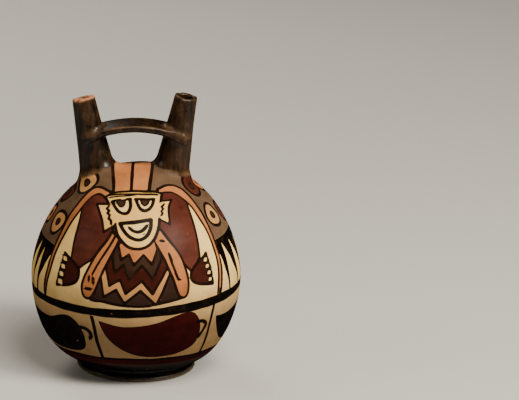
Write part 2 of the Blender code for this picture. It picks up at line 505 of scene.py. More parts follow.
@dataclass
class Net:
    """A quad mesh drawn over a signed distance, with its points pulled onto the surface (mm)."""

    shape: Vessel
    pitch: float = 1.15
    lows: Point = (-77.3, -77.3, -1.9)
    highs: Point = (77.3, 77.3, 203.5)
    rounds: int = 3
    longest_pull: float = 0.6
    points: Array = field(init=False)
    quads: Array = field(init=False)

    CORNERS = tuple((i, j, k) for i in (0, 1) for j in (0, 1) for k in (0, 1))

    def __post_init__(self) -> None:
        """Draw the net and even it out, each time pulling it back onto the surface."""
        axes = [np.arange(low, high, self.pitch) for low, high in zip(self.lows, self.highs)]
        samples = self.sample(axes)
        solid = samples < 0.0
        x, y, z = (size - 1 for size in solid.shape)
        count = sum(solid[i:x + i, j:y + j, k:z + k].astype(np.int8) for i, j, k in self.CORNERS)
        cells = np.argwhere((count > 0) & (count < len(self.CORNERS)))
        index = np.full(count.shape, -1, np.int64)
        index[tuple(cells.T)] = np.arange(len(cells))
        self.points = self.cut_points(axes, samples, cells)
        self.quads = self.join(solid, index)
        for _ in range(self.rounds):
            self.relax(0.5)
            self.settle(1)
        self.settle(2)

    def sample(self, axes: list[Array]) -> Array:
        """Return the distance at every grid point, one level at a time.

        Args:
            axes: The grid's places along X, Y and Z.

        Returns:
            Array of distances, one dimension for each axis.
        """
        x, y = np.meshgrid(axes[0], axes[1], indexing="ij")
        out = np.empty((len(axes[0]), len(axes[1]), len(axes[2])), np.float32)
        for k, z in enumerate(axes[2]):
            level = np.stack([x.ravel(), y.ravel(), np.full(x.size, z)], 1)
            out[:, :, k] = self.shape.distance(level).reshape(x.shape)
        return out

    def cut_points(self, axes: list[Array], samples: Array, cells: Array) -> Array:
        """Return a point in each cell: the mean of where the surface cuts its edges.

        Args:
            axes: The grid's places along X, Y and Z.
            samples: The distances at the grid's points.
            cells: The cells that the surface crosses, as whole steps along the axes.

        Returns:
            Array (n, 3) of points in mm.
        """
        value = {corner: samples[tuple((cells + corner).T)] for corner in self.CORNERS}
        total, hits = np.zeros((len(cells), 3)), np.zeros(len(cells))
        for start in self.CORNERS:
            for axis in range(3):
                if start[axis]:
                    continue
                end = tuple(1 if a == axis else start[a] for a in range(3))
                a, b = value[start], value[end]
                cut = (a < 0) != (b < 0)
                share = np.where(cut, a / np.where(cut, a - b, 1.0), 0.0)
                spot = np.array(start, float) + share[:, None] * np.eye(3)[axis]
                total += spot * cut[:, None]
                hits += cut
        lows = np.array([places[0] for places in axes])
        pitch = axes[0][1] - axes[0][0]
        return lows + pitch * (cells + total / hits[:, None])

    @staticmethod
    def join(solid: Array, index: Array) -> Array:
        """Return the quads: each grid edge that the surface cuts joins the four cells round it.

        Args:
            solid: Which of the grid's points lie in the clay.
            index: Each cell's point number.

        Returns:
            Array (m, 4) of point numbers, wound to face out of the clay.
        """
        step = np.eye(3, dtype=int)
        quads = []
        for axis in range(3):
            u, v = (axis + 1) % 3, (axis + 2) % 3
            first = solid[tuple(slice(0, -1) if a == axis else slice(1, -1) for a in range(3))]
            second = solid[tuple(slice(1, None) if a == axis else slice(1, -1) for a in range(3))]
            edges = np.argwhere(first != second)
            leaving = first[tuple(edges.T)]
            base = edges + np.array([0 if a == axis else 1 for a in range(3)])
            ring = [index[tuple((base - s).T)] for s in (step[u] + step[v], step[v], 0 * step[u], step[u])]
            ring = np.stack(ring, 1)
            ring[~leaving] = ring[~leaving][:, ::-1]
            quads.append(ring)
        return np.concatenate(quads)

    def relax(self, share: float) -> None:
        """Even the points out, by moving each towards the mean of its neighbours.

        Args:
            share: How much of the way each point goes.
        """
        total = np.zeros_like(self.points)
        hits = np.zeros(len(self.points))
        for a, b in ((0, 1), (1, 2), (2, 3), (3, 0)):
            for i, j in ((a, b), (b, a)):
                source, target = self.quads[:, i], self.quads[:, j]
                for axis in range(3):
                    total[:, axis] += np.bincount(target, self.points[source, axis], len(self.points))
                hits += np.bincount(target, minlength=len(self.points))
        self.points += share * (total / hits[:, None] - self.points)

    def settle(self, times: int) -> None:
        """Pull each point down the distance's slope, by the distance over its steepness.

        Args:
            times: How often this is done.
        """
        step, flattest = 0.05, 0.05
        for _ in range(times):
            here = self.shape.distance(self.points)
            slope = np.stack([self.shape.distance(self.points + step * np.eye(3)[a]) - here
                              for a in range(3)], 1) / step
            size = np.maximum((slope * slope).sum(1), flattest)
            self.points -= np.clip(here / size, -self.longest_pull, self.longest_pull)[:, None] * slope


# ------------------------------ painting

class Tone(Enum):
    """The slip colours. Each has its own distance field, kept in its own row."""

    CREAM = 0
    FIGURE = 1
    MAROON = 2
    WINE = 3
    ORANGE = 4
    AMBER = 5
    MANTLE = 6
    YELLOW = 7
    OCHRE = 8
    BLACK = 9
    RED = 10
    UMBER = 11
    TAN = 12
    SAND = 13
    PALE = 14
    RUSSET = 15
    SIENNA = 16
    CRIMSON = 17


class Mark(Enum):
    """The other values kept on the vertices, in the rows after the tones."""

    INK = 0      # half width of the ink along the slips' edges
    CLAY = 1     # distance to the bare clay of the spouts and strap
    JOINT = 2    # on the fillet at the foot of the spouts
    RIM = 3      # distance down from a bare rim
    WORN = 4     # rubbed edges and joints, and the sharp foot lip that takes a painted highlight
    INSIDE = 5
    LOW = 6      # how far down the wall; it sets the painted shade towards the foot

    @property
    def row(self) -> int:
        """Return the mark's row among all that is kept."""
        return len(Tone) + self.value


STROKE_ROW = len(Tone) + len(Mark)
FIELD_COUNT = math.ceil((STROKE_ROW + 2 * STROKE_LAYERS) / 3)   # three rows to an attribute


class View(Enum):
    """Which flat chart of the wall a shape is drawn on.

    FRONT and BACK measure mm round the wall from their own middle line, to the right as
    seen from that side, and mm up the wall from the widest level. PLAN is seen from
    above: mm along +X, and mm along +Y, out from the pole over the wall.
    """

    FRONT = 0.0
    BACK = 180.0
    PLAN = None


def flow(points: Points, closed: bool) -> Array:
    """Return a smooth line through points; a point with a third value stays a corner.

    Each span is a cubic. Its slope at a point follows the line between that point's two
    neighbours, and a span between two corners is straight.

    Args:
        points: (x, y) points, or (x, y, 1) for a corner.
        closed: Whether the line returns to its start.

    Returns:
        Array of (x, y) points.
    """
    spots = np.array([p[:2] for p in points], float)
    sharp = np.array([len(p) > 2 for p in points])
    before, after = np.roll(spots, 1, 0), np.roll(spots, -1, 0)
    if not closed:
        before[0], after[-1] = spots[0], spots[-1]
    slope = after - before
    size = np.sqrt((slope * slope).sum(1))
    slope = slope / np.where(size > 0, size, 1.0)[:, None]
    count = len(spots) if closed else len(spots) - 1
    out = []
    for i in range(count):
        j = (i + 1) % len(spots)
        start, end = spots[i], spots[j]
        if sharp[i] and sharp[j]:
            out.append(start[None])
            continue
        pull = float(np.hypot(*(end - start))) / 3.0
        straight = (end - start) / 3.0
        first = start + (straight if sharp[i] else slope[i] * pull)
        last = end - (straight if sharp[j] else slope[j] * pull)
        out.append(bezier(start, first, last, end, 5)[:-1])
    if not closed:
        out.append(spots[-1][None])
    return np.concatenate(out)


@dataclass
class Canvas:
    """The painted wall: distances to every painted area, kept on the mesh's vertices (mm)."""

    turn: Array                 # where each vertex lies, as Body.place() says
    arc: Array
    reach: Array
    body: Body
    area_reach: float = 7.0     # how far past an area's edge its distance is worked out
    stroke_reach: float = 5.0   # the same for an ink line
    chart_half: float = 2.3     # how far round a side's chart is used, radians

    def __post_init__(self) -> None:
        """Start with bare cream slip all over, and measure every vertex on each chart."""
        count = len(self.turn)
        self.tones = np.full((len(Tone), count), FAR)
        self.tones[Tone.CREAM.value] = -FAR
        self.edge = np.full(count, FAR)
        self.ink = np.zeros(count)
        self.strokes = [np.full((2, count), FAR) for _ in range(STROKE_LAYERS)]
        self.busy = [np.zeros(count, bool) for _ in range(STROKE_LAYERS)]
        self.taper = self.body.reach_at(self.arc + 0.5) - self.body.reach_at(self.arc - 0.5)
        self.charts = {view: self.chart(view) for view in View}

    def chart(self, view: View) -> tuple[Array, Array | None]:
        """Return where every vertex lies on a view's chart, with a hand's slight sway.

        Args:
            view: The chart.

        Returns:
            (points, lean): the lean says how far the chart skews at a vertex, for true
            distances, and is None for the plan.
        """
        if view is View.PLAN:
            out = self.body.arcs[-1] - self.arc
            return np.stack([out * np.sin(self.turn), -out * np.cos(self.turn)], 1), None
        turn = half_turn(self.turn - math.radians(view.value))
        sway = 0.28 * np.sin(self.arc / 9.0 + 3.0 * turn) + 0.16 * np.sin(self.arc / 4.1 - 7.0 * turn)
        rise = 0.24 * np.sin(7.0 * turn + 1.1) + 0.14 * np.sin(17.0 * turn + self.arc / 7.0)
        points = np.stack([turn * self.reach + sway, self.arc + rise], 1)
        return points, turn * self.taper

    def measure(self, view: View, line: Array, closed: bool, reach: float) -> tuple[Array, ...]:
        """Return the distances on the wall of the vertices near a drawn line.

        A distance on a chart is divided by the steepness that the chart's skew gives it,
        or scaled by the wall's radius on the plan.

        Args:
            view: The chart that the line is drawn on.
            line: The line's points.
            closed: Whether it is an outline.
            reach: How far from the line vertices are taken.

        Returns:
            (vertices, distance, side, inside), the last None for an open line.
        """
        points, lean = self.charts[view]
        low, high = line.min(0) - reach, line.max(0) + reach
        near = np.flatnonzero(((points > low) & (points < high)).all(1))
        if view is not View.PLAN:
            turned = np.abs(half_turn(self.turn[near] - math.radians(view.value)))
            near = near[turned < self.chart_half]
        spots = points[near]
        away, offset, side = distance_to_line(spots, line, closed)
        inside = inside_outline(spots, line) if closed else None
        if lean is not None:
            across, up = (offset / np.maximum(away, 1e-6)[:, None]).T
            skew = lean[near]
            size = across ** 2 * (1 + skew ** 2) + 2 * across * up * skew + up ** 2
            away = away / np.sqrt(np.maximum(size, 0.05))
        else:
            out = np.hypot(*spots.T)
            away = away * np.clip(self.reach[near] / np.maximum(out, 1.0), 0.6, 1.0)
        return near, away, side, inside

    def lay(self, tone: Tone, near: Array, signed: Array, ink: float) -> None:
        """Paint one area over what is there, and bury the ink lines under it.

        Args:
            tone: The slip to lay.
            near: The vertices that the area reaches.
            signed: Their distances to its edge, negative inside.
            ink: The half width of the ink along the edge.
        """
        for other in Tone:
            row = self.tones[other.value]
            if other is tone:
                row[near] = np.minimum(row[near], signed)
            else:
                row[near] = np.maximum(row[near], -signed)
        taken = (signed < 0.0) | (np.abs(signed) < self.edge[near])
        self.edge[near[taken]] = np.abs(signed[taken])
        self.ink[near[taken]] = ink * INK_WEIGHT
        buried = signed < -0.2
        for stroke in self.strokes:
            stroke[:, near[buried]] = FAR

    def area(self, view: View, tone: Tone, points: Points, ink: float = 0.75) -> None:
        """Paint a closed outline drawn on a chart.

        Args:
            view: The chart.
            tone: The slip inside the outline.
            points: The outline, as flow() reads it.
            ink: The half width of the ink along it.
        """
        line = flow(points, True)
        near, away, _, inside = self.measure(view, line, True, self.area_reach)
        away = np.minimum(away, FAR)
        self.lay(tone, near, np.where(inside, -away, away), ink)

    def ring(self, tone: Tone, upper: Points, lower: Points, ink: float = 0.0) -> None:
        """Paint a band right round the vessel, with two small waves along its edges.

        Args:
            tone: The slip.
            upper: (degrees, mm up) points of its upper edge.
            lower: The same for its lower edge.
            ink: The half width of the ink along its edges.
        """
        turns = np.degrees(self.turn)
        top, foot = (smooth_round(turns, line) for line in (upper, lower))
        signed = np.maximum(self.arc - top, foot - self.arc)
        wave = 0.18 * np.sin(11 * self.turn) + 0.1 * np.sin(29 * self.turn + 1.0)
        self.lay(tone, np.arange(len(turns)), np.clip(signed + wave, -FAR, FAR), ink)

    def disc(self, tone: Tone, turn: float, arc: float, radius: float, ink: float = 0.7,
             squash: float = 1.0) -> None:
        """Paint a round spot on the wall, its edge a circle with three slight lobes.

        Args:
            tone: The slip.
            turn: The spot's angle from the front, degrees.
            arc: Its height up the wall, mm.
            radius: Its radius, mm.
            ink: The half width of the ink round it.
            squash: Its height over its width.
        """
        across = 0.5 * (self.reach + float(self.body.reach_at(arc))) * half_turn(self.turn - np.radians(turn))
        up = (self.arc - arc) / squash
        away = np.hypot(across, up)
        near = np.flatnonzero(away < radius + self.area_reach)
        uneven = 0.06 * radius * np.sin(3 * np.arctan2(up, across) + turn)
        self.lay(tone, near, (away - radius + uneven)[near], ink)

    def stroke(self, view: View, points: Points, half: float = 0.75) -> None:
        """Draw an ink line along points, in the first layer with room beside it.

        Args:
            view: The chart.
            points: The line, as flow() reads it.
            half: The line's half width.
        """
        half = half * INK_WEIGHT
        near, away, side, _ = self.measure(view, flow(points, False), False, self.stroke_reach)
        close = away < 2.0 * half + 1.6
        near, away, side = near[close], away[close], side[close]
        for layer, busy in zip(self.strokes, self.busy):
            if not busy[near].any():
                break
        else:
            LOG.warning("a stroke near %s crowds its neighbours", points[0][:2])
        busy[near] = True
        layer[0, near] = side * away / half
        layer[1, near] = away / half


def smooth_round(turns: Array, line: Points) -> Array:
    """Return the heights of a line that runs right round, softened over some degrees.

    Args:
        turns: Angles to read it at, degrees.
        line: (degrees, height) points of the round.

    Returns:
        The height at each angle: straight between the points, then a moving mean.
    """
    angles, heights = np.array(line, float).T
    spread = np.concatenate([angles - 360.0, angles, angles + 360.0])
    order = np.argsort(spread)
    fine = np.arange(-200.0, 200.0, 1.0)
    level = np.interp(fine, spread[order], np.tile(heights, 3)[order])
    half = 12
    window = np.hanning(2 * half + 1)
    level = np.convolve(np.pad(level, half, mode="edge"), window / window.sum(), mode="valid")
    return np.interp(turns, fine, level)


@dataclass
class Spikes:
    """The black spiked fringe on one side: cream tongues rising between black points.

    Args:
        border: The height of its upper edge, mm up the wall.
        start, end: The angles that it runs between, degrees.
        base: The height of its foot.
        tongues: (tip, height, near, far) of each: the angle and height of its tip, and
            the angles of its straight and its hollow side at the foot.
    """

    border: float
    start: float
    end: float
    base: float
    tongues: Points
    BEND = ((0.24, 0.8), (0.5, 0.61), (0.66, 0.435), (0.86, 0.275), (0.97, 0.115))

    def paint(self, canvas: Canvas) -> None:
        """Paint the fringe between the mantle and the black band.

        Args:
            canvas: The painted wall.
        """
        sign = 1.0 if self.end > 0 else -1.0
        sides = [
            (self.start, self.base, 1), (self.start + 4 * sign, self.border, 1),
            ((self.start + self.end) / 2, self.border + 0.8), (self.end - 4 * sign, self.border, 1),
            (self.end, self.base, 1)]
        canvas.area(View.FRONT, Tone.BLACK, self.spread(canvas, sides, 5.0), 0.0)
        for tip, height, near, far in self.tongues:
            points = [
                (near, self.base - 1.0, 1), (near, 0.24 * height), (0.6 * tip + 0.4 * near, 0.62 * height),
                (tip, height, 1)]
            points += [(tip + share * (far - tip), level * height) for share, level in self.BEND]
            points.append((far, self.base - 1.0, 1))
            canvas.area(View.FRONT, Tone.CREAM, self.spread(canvas, points, 0.0), 0.0)

    @staticmethod
    def spread(canvas: Canvas, points: Points, step: float) -> Points:
        """Return points as points of the front chart, by the wall's radius at each height.

        Args:
            canvas: The painted wall.
            points: (degrees, mm up) points, with a third value for a corner.
            step: Where this isn't 0, spans below the widest level and more than twice
                as many degrees long are cut in four, so that they follow the wall.

        Returns:
            (mm round, mm up) points.
        """
        out = []
        for index, (turn, arc, *corner) in enumerate(points):
            reach = float(canvas.body.reach_at(arc))
            out.append((math.radians(turn) * reach, arc, *corner))
            nxt = points[(index + 1) % len(points)]
            if step and abs(nxt[0] - turn) > 2 * step and arc < 0:
                for share in (0.25, 0.5, 0.75):
                    between = turn + (nxt[0] - turn) * share
                    out.append((math.radians(between) * reach, arc, 1))
        return out


class Picture:
    """Everything painted on the wall, laid down in the order a painter would.

    An eye of the mantle is (degrees, mm up, radius, tone, radius of its spot).
    """

    OCELLI = ((-67.4, 80.0, 8.2, Tone.PALE, 2.5), (-65.8, 46.2, 8.6, Tone.PALE, 2.8),
              (-84.0, 66.0, 7.6, Tone.MAROON, 2.6), (-86.5, 46.5, 7.2, Tone.ORANGE, 2.5),
              (-98.0, 75.5, 7.6, Tone.ORANGE, 2.5), (-102.0, 48.0, 7.2, Tone.MAROON, 2.5),
              (69.7, 54.0, 8.9, Tone.PALE, 2.9), (74.5, 79.0, 8.4, Tone.MAROON, 2.8),
              (91.0, 51.0, 8.0, Tone.MAROON, 2.6), (97.0, 77.0, 8.4, Tone.ORANGE, 2.6),
              (108.5, 56.0, 7.2, Tone.AMBER, 2.4))

    def __init__(self, canvas: Canvas) -> None:
        """Paint the grounds, then the figures, and the black band over their ends.

        Args:
            canvas: The painted wall.
        """
        self.canvas = canvas
        self.grounds()
        self.front_ground()
        self.back_ground()
        self.mantle()
        self.panels()
        self.front_figure()
        self.back_figure()
        self.band()

    def grounds(self) -> None:
        """Paint the zones that run right round: mantle, fringe and dark foot."""
        c = self.canvas
        low = [
            (-107, -52), (-77, -50.5), (-46, -48.5), (-18, -47.4), (0, -46.6), (46, -46.5), (80, -48.5),
            (113, -49), (136, -44), (157, -40.3), (180, -39.5), (205, -41), (231, -45.5)]
        pole = [(0, 130), (120, 130), (240, 130)]
        c.ring(Tone.MANTLE, pole, [(-150, 32), (-118, 30), (-52, 30), (0, 36), (90, 38), (150, 36)])
        deep = [(a, -90.0) for a, _ in low]
        c.ring(Tone.CRIMSON, low, deep, 0.85)
        c.ring(Tone.BLACK, [(a, h - 8.6) for a, h in low], deep)
        Spikes(border=37.6, start=50.0, end=125.0, base=-1.5, tongues=(
            (55.2, 37.4, 52, 61.8), (63.1, 34.6, 63.4, 74.3), (74.6, 34.4, 75.9, 85.4), (89.8, 35, 87, 93.4),
            (105.6, 35.4, 104.7, 94.9), (112.7, 34, 113.5, 106), (119.4, 28, 122, 114.8))).paint(c)
        Spikes(border=30.8, start=-51.0, end=-117.5, base=-6.5, tongues=(
            (-56.8, 26.6, -55, -66.1), (-67.1, 26.8, -68.3, -74), (-74.7, 29, -75.7, -84),
            (-89.6, 29.4, -86, -93.6), (-106.2, 28.6, -104, -95.2), (-114, 27.6, -118, -106.8))).paint(c)

    def mantle(self) -> None:
        """Paint the spotted mantle and the two stripes over the shoulder."""
        c = self.canvas
        stripes = (
            (Tone.ORANGE, [(-18.6, -42, 1), (-17.7, -30), (-17.9, -16), (-17.6, -4), (-17, 6), (-16.4, 16, 1),
                (-3.4, 16, 1), (-4, 0), (-4.4, -20), (-5.2, -44, 1)]),
            (Tone.AMBER, [(-5.2, -44, 1), (-4.4, -20), (-4, 0), (-3.4, 16, 1), (7.4, 14, 1), (9.4, 0),
                (9.2, -16), (8.5, -28), (7.8, -44, 1)]))
        for tone, points in stripes:
            c.area(View.PLAN, tone, points, 0.9)
        for turn, arc, radius, tone, pupil in self.OCELLI:
            c.disc(tone, turn, arc, radius, 0.9)
            c.disc(Tone.UMBER, turn, arc, pupil, 0.5, 0.9)

    def front_ground(self) -> None:
        """Paint the front's cream ground inside its orange border."""
        c, F = self.canvas, View.FRONT
        outer = [
            (-75.6, -8.5, 1), (-76.2, -3), (-76.4, 3), (-74.6, 12), (-71.6, 22), (-67.1, 32), (-62.2, 42),
            (-57.1, 52.6), (-50.6, 62.6), (-44.8, 70.8), (-40, 76.2), (-34, 80.9), (-27.5, 82.3),
            (-20.5, 80.5, 1), (-14, 72, 1), (0, 66, 1), (10, 74, 1), (14, 84.9, 1), (20, 87), (27.5, 86.4),
            (35, 82), (41, 75.8), (47.5, 67.8), (54, 59), (60, 47.6), (65, 37.6), (69, 27), (70.8, 17),
            (71, 8), (70, 0), (69, -3.5, 1)]
        inner = [
            (-74.6, -8.5, 1), (-74.4, -3), (-73.6, 3), (-71, 12), (-67.8, 22), (-63.4, 31), (-58.4, 40.2),
            (-52.8, 49.8), (-46.7, 58.6), (-41.2, 67), (-36.2, 72.6), (-31.6, 75.6), (-27.6, 76.2),
            (-23.6, 74.4, 1), (-12, 66, 1), (0, 62, 1), (11, 70, 1), (15.4, 80.6, 1), (20, 80.9), (25, 80),
            (30, 77.2), (35, 73), (38.2, 70.2), (44.2, 64), (50.6, 55.2), (56.7, 46), (61.8, 36),
            (65.6, 24.5), (67, 14.5), (67, 6), (66.4, 0), (66, -3.5, 1)]
        c.area(F, Tone.ORANGE, outer, 0.85)
        c.area(F, Tone.CREAM, inner, 0.8)
        c.stroke(F, [(68.8, 3.4), (68.4, 0)], 0.6)

    def front_figure(self) -> None:
        """Paint the masked figure on the front: arms, hands, collar, straps and face."""
        c, F = self.canvas, View.FRONT
        left_arm = [
            (-43.4, 63, 1), (-40.6, 67.8), (-36.2, 72.8), (-31.6, 75.8), (-27.6, 76.4), (-23.8, 74.4),
            (-20.8, 70.4, 1), (-18, 66, 1), (-17, 54, 1), (-16.4, 49, 1), (-19.5, 44.5, 1), (-25, 37.5),
            (-31.3, 28.6), (-36.3, 24.8), (-41.6, 20.6, 1), (-49.2, 25.6, 1), (-48.1, 32), (-46.6, 42),
            (-44.7, 53)]
        right_arm = [
            (16.8, 80.8, 1), (20, 81), (25, 80.1), (30, 77.3), (35, 73.1), (38.2, 69.6, 1), (40.8, 62),
            (43.2, 55.5), (45.2, 48), (46.9, 38), (48.1, 29, 1), (45.2, 25.3), (40.6, 20.2, 1), (33, 28),
            (26, 40), (18.6, 50), (14, 55, 1), (13, 70, 1)]
        c.area(F, Tone.MAROON, left_arm, 0.7)
        c.area(F, Tone.MAROON, right_arm, 0.7)
        left_hand = [
            (-55.6, 28.8, 1), (-52, 26.8), (-49.2, 25.6, 1), (-45.5, 23), (-41.6, 19.8, 1), (-41.9, 14.4),
            (-44.7, 10.4), (-51, 7.7), (-62.2, 5.3, 1), (-59.6, 17)]
        right_hand = [
            (54.2, 30.8, 1), (51.4, 28.4), (48.2, 27.2, 1), (44.5, 24.4), (40.7, 20.2, 1), (40.6, 15.2),
            (43.6, 11.9), (50.4, 10), (61, 8.9, 1), (58.4, 19.5)]
        for points in (left_hand, right_hand):
            c.area(F, Tone.WINE, points, 0.85)
        nails = (
            ((-54.9, 24.9), 3.6, -2.2), ((-56.5, 19.4), 3.7, -1.9), ((-57.7, 14.0), 3.8, -1.6),
            ((-58.6, 8.4), 4.2, -1.2), ((53.4, 26.4), 3.2, 2.2), ((55.0, 21.8), 3.1, 1.9),
            ((56.5, 17.2), 3.0, 1.6), ((57.8, 12.4), 2.9, 1.4))
        for (x, y), size, lean in nails:
            wide, tall, tip = size * 0.64, size * 0.58, 0.18 * lean
            c.area(F, Tone.FIGURE, [
                (x - wide + tip, y + tall, 1), (x + wide + tip, y + tall - 0.2, 1),
                (x + wide - tip, y - tall, 1), (x - wide - tip, y - tall + 0.2, 1)], 0.5)
        self.collar()
        self.straps()
        self.mask()

    def collar(self) -> None:
        """Paint the stepped zigzag collar, each colour over the one below it."""
        c = self.canvas
        skirt = [
            (-33.4, 1.8), (-22.5, 0), (-7.5, -1.8), (5, -1.6), (17.5, 0), (30, 2.0), (36.5, 3.2, 1),
            (24, 24, 1), (17, 40, 1), (-14, 44, 1), (-24, 22, 1)]
        c.area(View.FRONT, Tone.UMBER, skirt, 0.8)
        steps = (
            (Tone.PALE, [(-24.6, 18, 1), (-22.6, 3.4, 1), (-13.4, 9.2, 1), (-7.5, -0.2, 1), (3.8, 9.8, 1),
                (14.6, -0.8, 1), (19.5, 8.5, 1), (24.2, 20.5, 1), (17, 40, 1), (-14, 44, 1)]),
            (Tone.WINE, [(-20.8, 26, 1), (-18.4, 11.6, 1), (-10.8, 16.6, 1), (-6.6, 7, 1), (4.4, 16.6, 1),
                (12.4, 7, 1), (18.6, 18, 1), (22, 26, 1), (17, 40, 1), (-14, 44, 1)]),
            (Tone.UMBER, [(-16.6, 33, 1), (-14.4, 20.6, 1), (-8.4, 27.4, 1), (-4.8, 17, 1), (4, 27, 1),
                (12, 17, 1), (17.2, 31.5, 1), (15, 42, 1), (-13, 45, 1)]),
            (Tone.ORANGE, [(-12.9, 40, 1), (-10.3, 30.2, 1), (-5.2, 34.4, 1), (-1.5, 26.8, 1), (5, 34.6, 1),
                (10.8, 27.6, 1), (14.4, 38.5, 1), (12, 46, 1), (-11, 46, 1)]))
        for tone, points in steps:
            c.area(View.FRONT, tone, points, 0.7)

    def straps(self) -> None:
        """Paint the two orange straps that hang from the jaw, with their marks."""
        c, F = self.canvas, View.FRONT
        left = [
            (-17.5, 49.5, 1), (-21, 42.8), (-25, 37), (-29, 31), (-35, 19.5), (-38.8, 11), (-39.3, 6),
            (-37.6, 1.8), (-34.6, 0.6), (-31.8, 2), (-29.5, 6), (-26.4, 13), (-20.3, 26), (-14.9, 38.4),
            (-12.2, 44.6, 1)]
        right = [
            (11, 45, 1), (17.5, 34.5), (22.5, 24.5), (27, 16), (30.2, 7), (32.2, 3.6, 1), (35.9, 2.9),
            (38.3, 6), (38.3, 15), (34.8, 25.4), (28.9, 36), (21, 46), (15.2, 54, 1)]
        c.area(F, Tone.ORANGE, left, 0.75)
        c.area(F, Tone.ORANGE, right, 0.75)
        c.stroke(F, [(-14.6, 47.5), (-19.4, 38.4), (-25, 28.4), (-30.6, 18.4)], 0.65)
        c.stroke(F, [(-33.3, 15.9), (-33.6, 13.6)], 0.75)
        c.stroke(F, [(-30.2, 14.9), (-30.2, 12.4)], 1.05)
        c.stroke(F, [(-35.8, 7.4), (-32.6, 7.6)], 0.95)
        c.stroke(F, [(22.8, 33.8), (24.8, 28.6)], 0.85)
        c.stroke(F, [(24.8, 28), (28.4, 20.8)], 0.7)
        c.stroke(F, [(28.2, 20.8), (30.4, 16.4)], 0.75)
        c.stroke(F, [(30.4, 16.4), (31.8, 15.6)], 0.6)
        c.stroke(F, [(17, 43.9), (18.6, 43.5)], 0.75)

    def mask(self) -> None:
        """Paint the smiling mouth mask: ears, headband, eyes and mouth."""
        c, F = self.canvas, View.FRONT
        c.area(F, Tone.TAN, [
            (-17, 70.6, 1), (-24, 69.3), (-30.2, 68.2, 1), (-28, 63), (-25.8, 57), (-23.7, 48.2, 1),
            (-20, 51.2), (-15.6, 53.8, 1), (-12, 62, 1)], 0.75)
        c.area(F, Tone.TAN, [
            (13, 73.8, 1), (20, 73.6), (25, 74.2, 1), (23, 69.4), (22.6, 65), (23, 60), (23.7, 55, 1),
            (19.5, 57.6), (15.2, 60.2, 1), (12, 66, 1)], 0.65)
        face = [
            (-23.6, 75.2, 1), (-18, 79.3), (-7.5, 82.7), (1.3, 83.7), (10, 82.8), (17, 80.2, 1),
            (16.5, 73, 1), (16.2, 62), (15.2, 54.5), (12.7, 46.6), (9, 42), (4.8, 39.4), (0.2, 38.4),
            (-4.4, 38.9), (-8.4, 41), (-13.3, 46.8), (-15.6, 54, 1), (-20, 64, 1), (-21, 70.6, 1)]
        c.area(F, Tone.TAN, face, 0.9)
        c.stroke(F, [(-20.6, 77), (-10, 79.8), (0, 80.8), (8, 80.6), (13.6, 79.4)], 0.7)
        c.stroke(F, [(-20.2, 75.1), (-14, 77), (-8, 78.6), (-1.6, 80)], 0.55)
        eyes = (
            ([(-17.8, 72.2, 1), (-5, 76.3, 1), (-4.9, 69.6), (-6.8, 64.9), (-10, 63.7), (-13.8, 65.3)],
                [(-14.6, 73.2, 1), (-8.2, 75.3, 1), (-8.8, 71.4), (-11, 68.6), (-13.4, 69.8)]),
            ([(-1.2, 76.2, 1), (11.2, 76, 1), (10.4, 71.4), (8.2, 67.9), (5.1, 66.7), (1.9, 68.8)],
                [(2, 76, 1), (8.2, 76, 1), (7.4, 72.8), (5.1, 70.8), (2.9, 72.8)]))
        for outline, pupil in eyes:
            c.area(F, Tone.CREAM, outline, 0.98)
            c.area(F, Tone.UMBER, pupil, 0.5)
        c.area(F, Tone.CREAM, [
            (-12, 55.8, 1), (0, 58.2), (10, 59.7, 1), (9.4, 53.4), (6.4, 47.8), (1.2, 45), (-4.8, 46.4),
            (-9, 50.4)], 1.05)
        c.stroke(F, [(-5, 53), (-2.7, 51.3), (0.6, 50.8), (3.8, 52.1), (6.7, 55)], 0.95)
        c.stroke(F, [(4.2, 49.4), (4.9, 49.5)], 0.4)
        c.stroke(F, [
            (-20.6, 68), (-22.1, 66, 1), (-20.1, 64.6, 1), (-21.7, 62.8, 1), (-20, 61.2, 1), (-20.8, 58.6, 1),
            (-18.9, 57.4, 1), (-18.6, 55)], 0.72)
        c.stroke(F, [
            (19, 70.6), (17.3, 69, 1), (18.7, 67.4, 1), (17.3, 65.6, 1), (18.3, 64, 1), (17.4, 62.6)], 0.6)

    def panels(self) -> None:
        """Paint the lower zone: chilli peppers between divider lines."""
        c, F, B = self.canvas, View.FRONT, View.BACK
        c.area(F, Tone.CRIMSON, [
            (-25.8, -15.2, 1), (-17.5, -16.9), (-7.5, -17.8), (5, -16.8), (17.5, -14), (30, -10.4),
            (37.5, -8.6), (42.5, -9), (46, -12), (48.6, -17), (49.4, -23), (47.5, -30.5), (42.5, -37),
            (32.5, -41.5), (20, -43.6), (11, -43.4), (0, -41), (-10, -36), (-17.5, -29), (-22.5, -22)], 0.28)
        c.stroke(F, [(47, -17.2), (51.8, -17.6), (54.9, -20.2), (53.2, -23.8), (48.4, -29.6)], 0.98)
        c.area(F, Tone.BLACK, [
            (-112, -19, 1), (-95, -20.8), (-80, -21.4), (-70, -20.8), (-64, -18.6), (-57.5, -16), (-50, -15),
            (-45, -17), (-41, -20.5), (-38.5, -24.4), (-36.4, -28), (-35.2, -33), (-35, -37.5), (-37, -41.4),
            (-41.6, -43.8), (-50, -45.8), (-62, -47), (-78, -45.6), (-92, -40), (-104, -30)], 0.0)
        c.stroke(F, [(-42, -22.4), (-36.6, -22.3), (-32.7, -24.2), (-30.9, -27.4), (-31.4, -29.8)], 1.1)
        c.area(F, Tone.BLACK, [
            (65.4, -16.2, 1), (80, -17.2), (96, -15.6), (112, -11.6), (121, -12.4), (127, -18), (128, -26),
            (122, -34), (110, -41), (96, -43.6), (84, -42.6), (76, -40), (71, -35.6), (67.6, -29),
            (66, -22)], 0.0)
        c.stroke(F, [(124, -16.4), (131, -17), (135, -21), (133, -27)], 0.95)
        c.stroke(F, [(-32, -9), (-28.5, -22), (-22.2, -47.5)], 0.92)
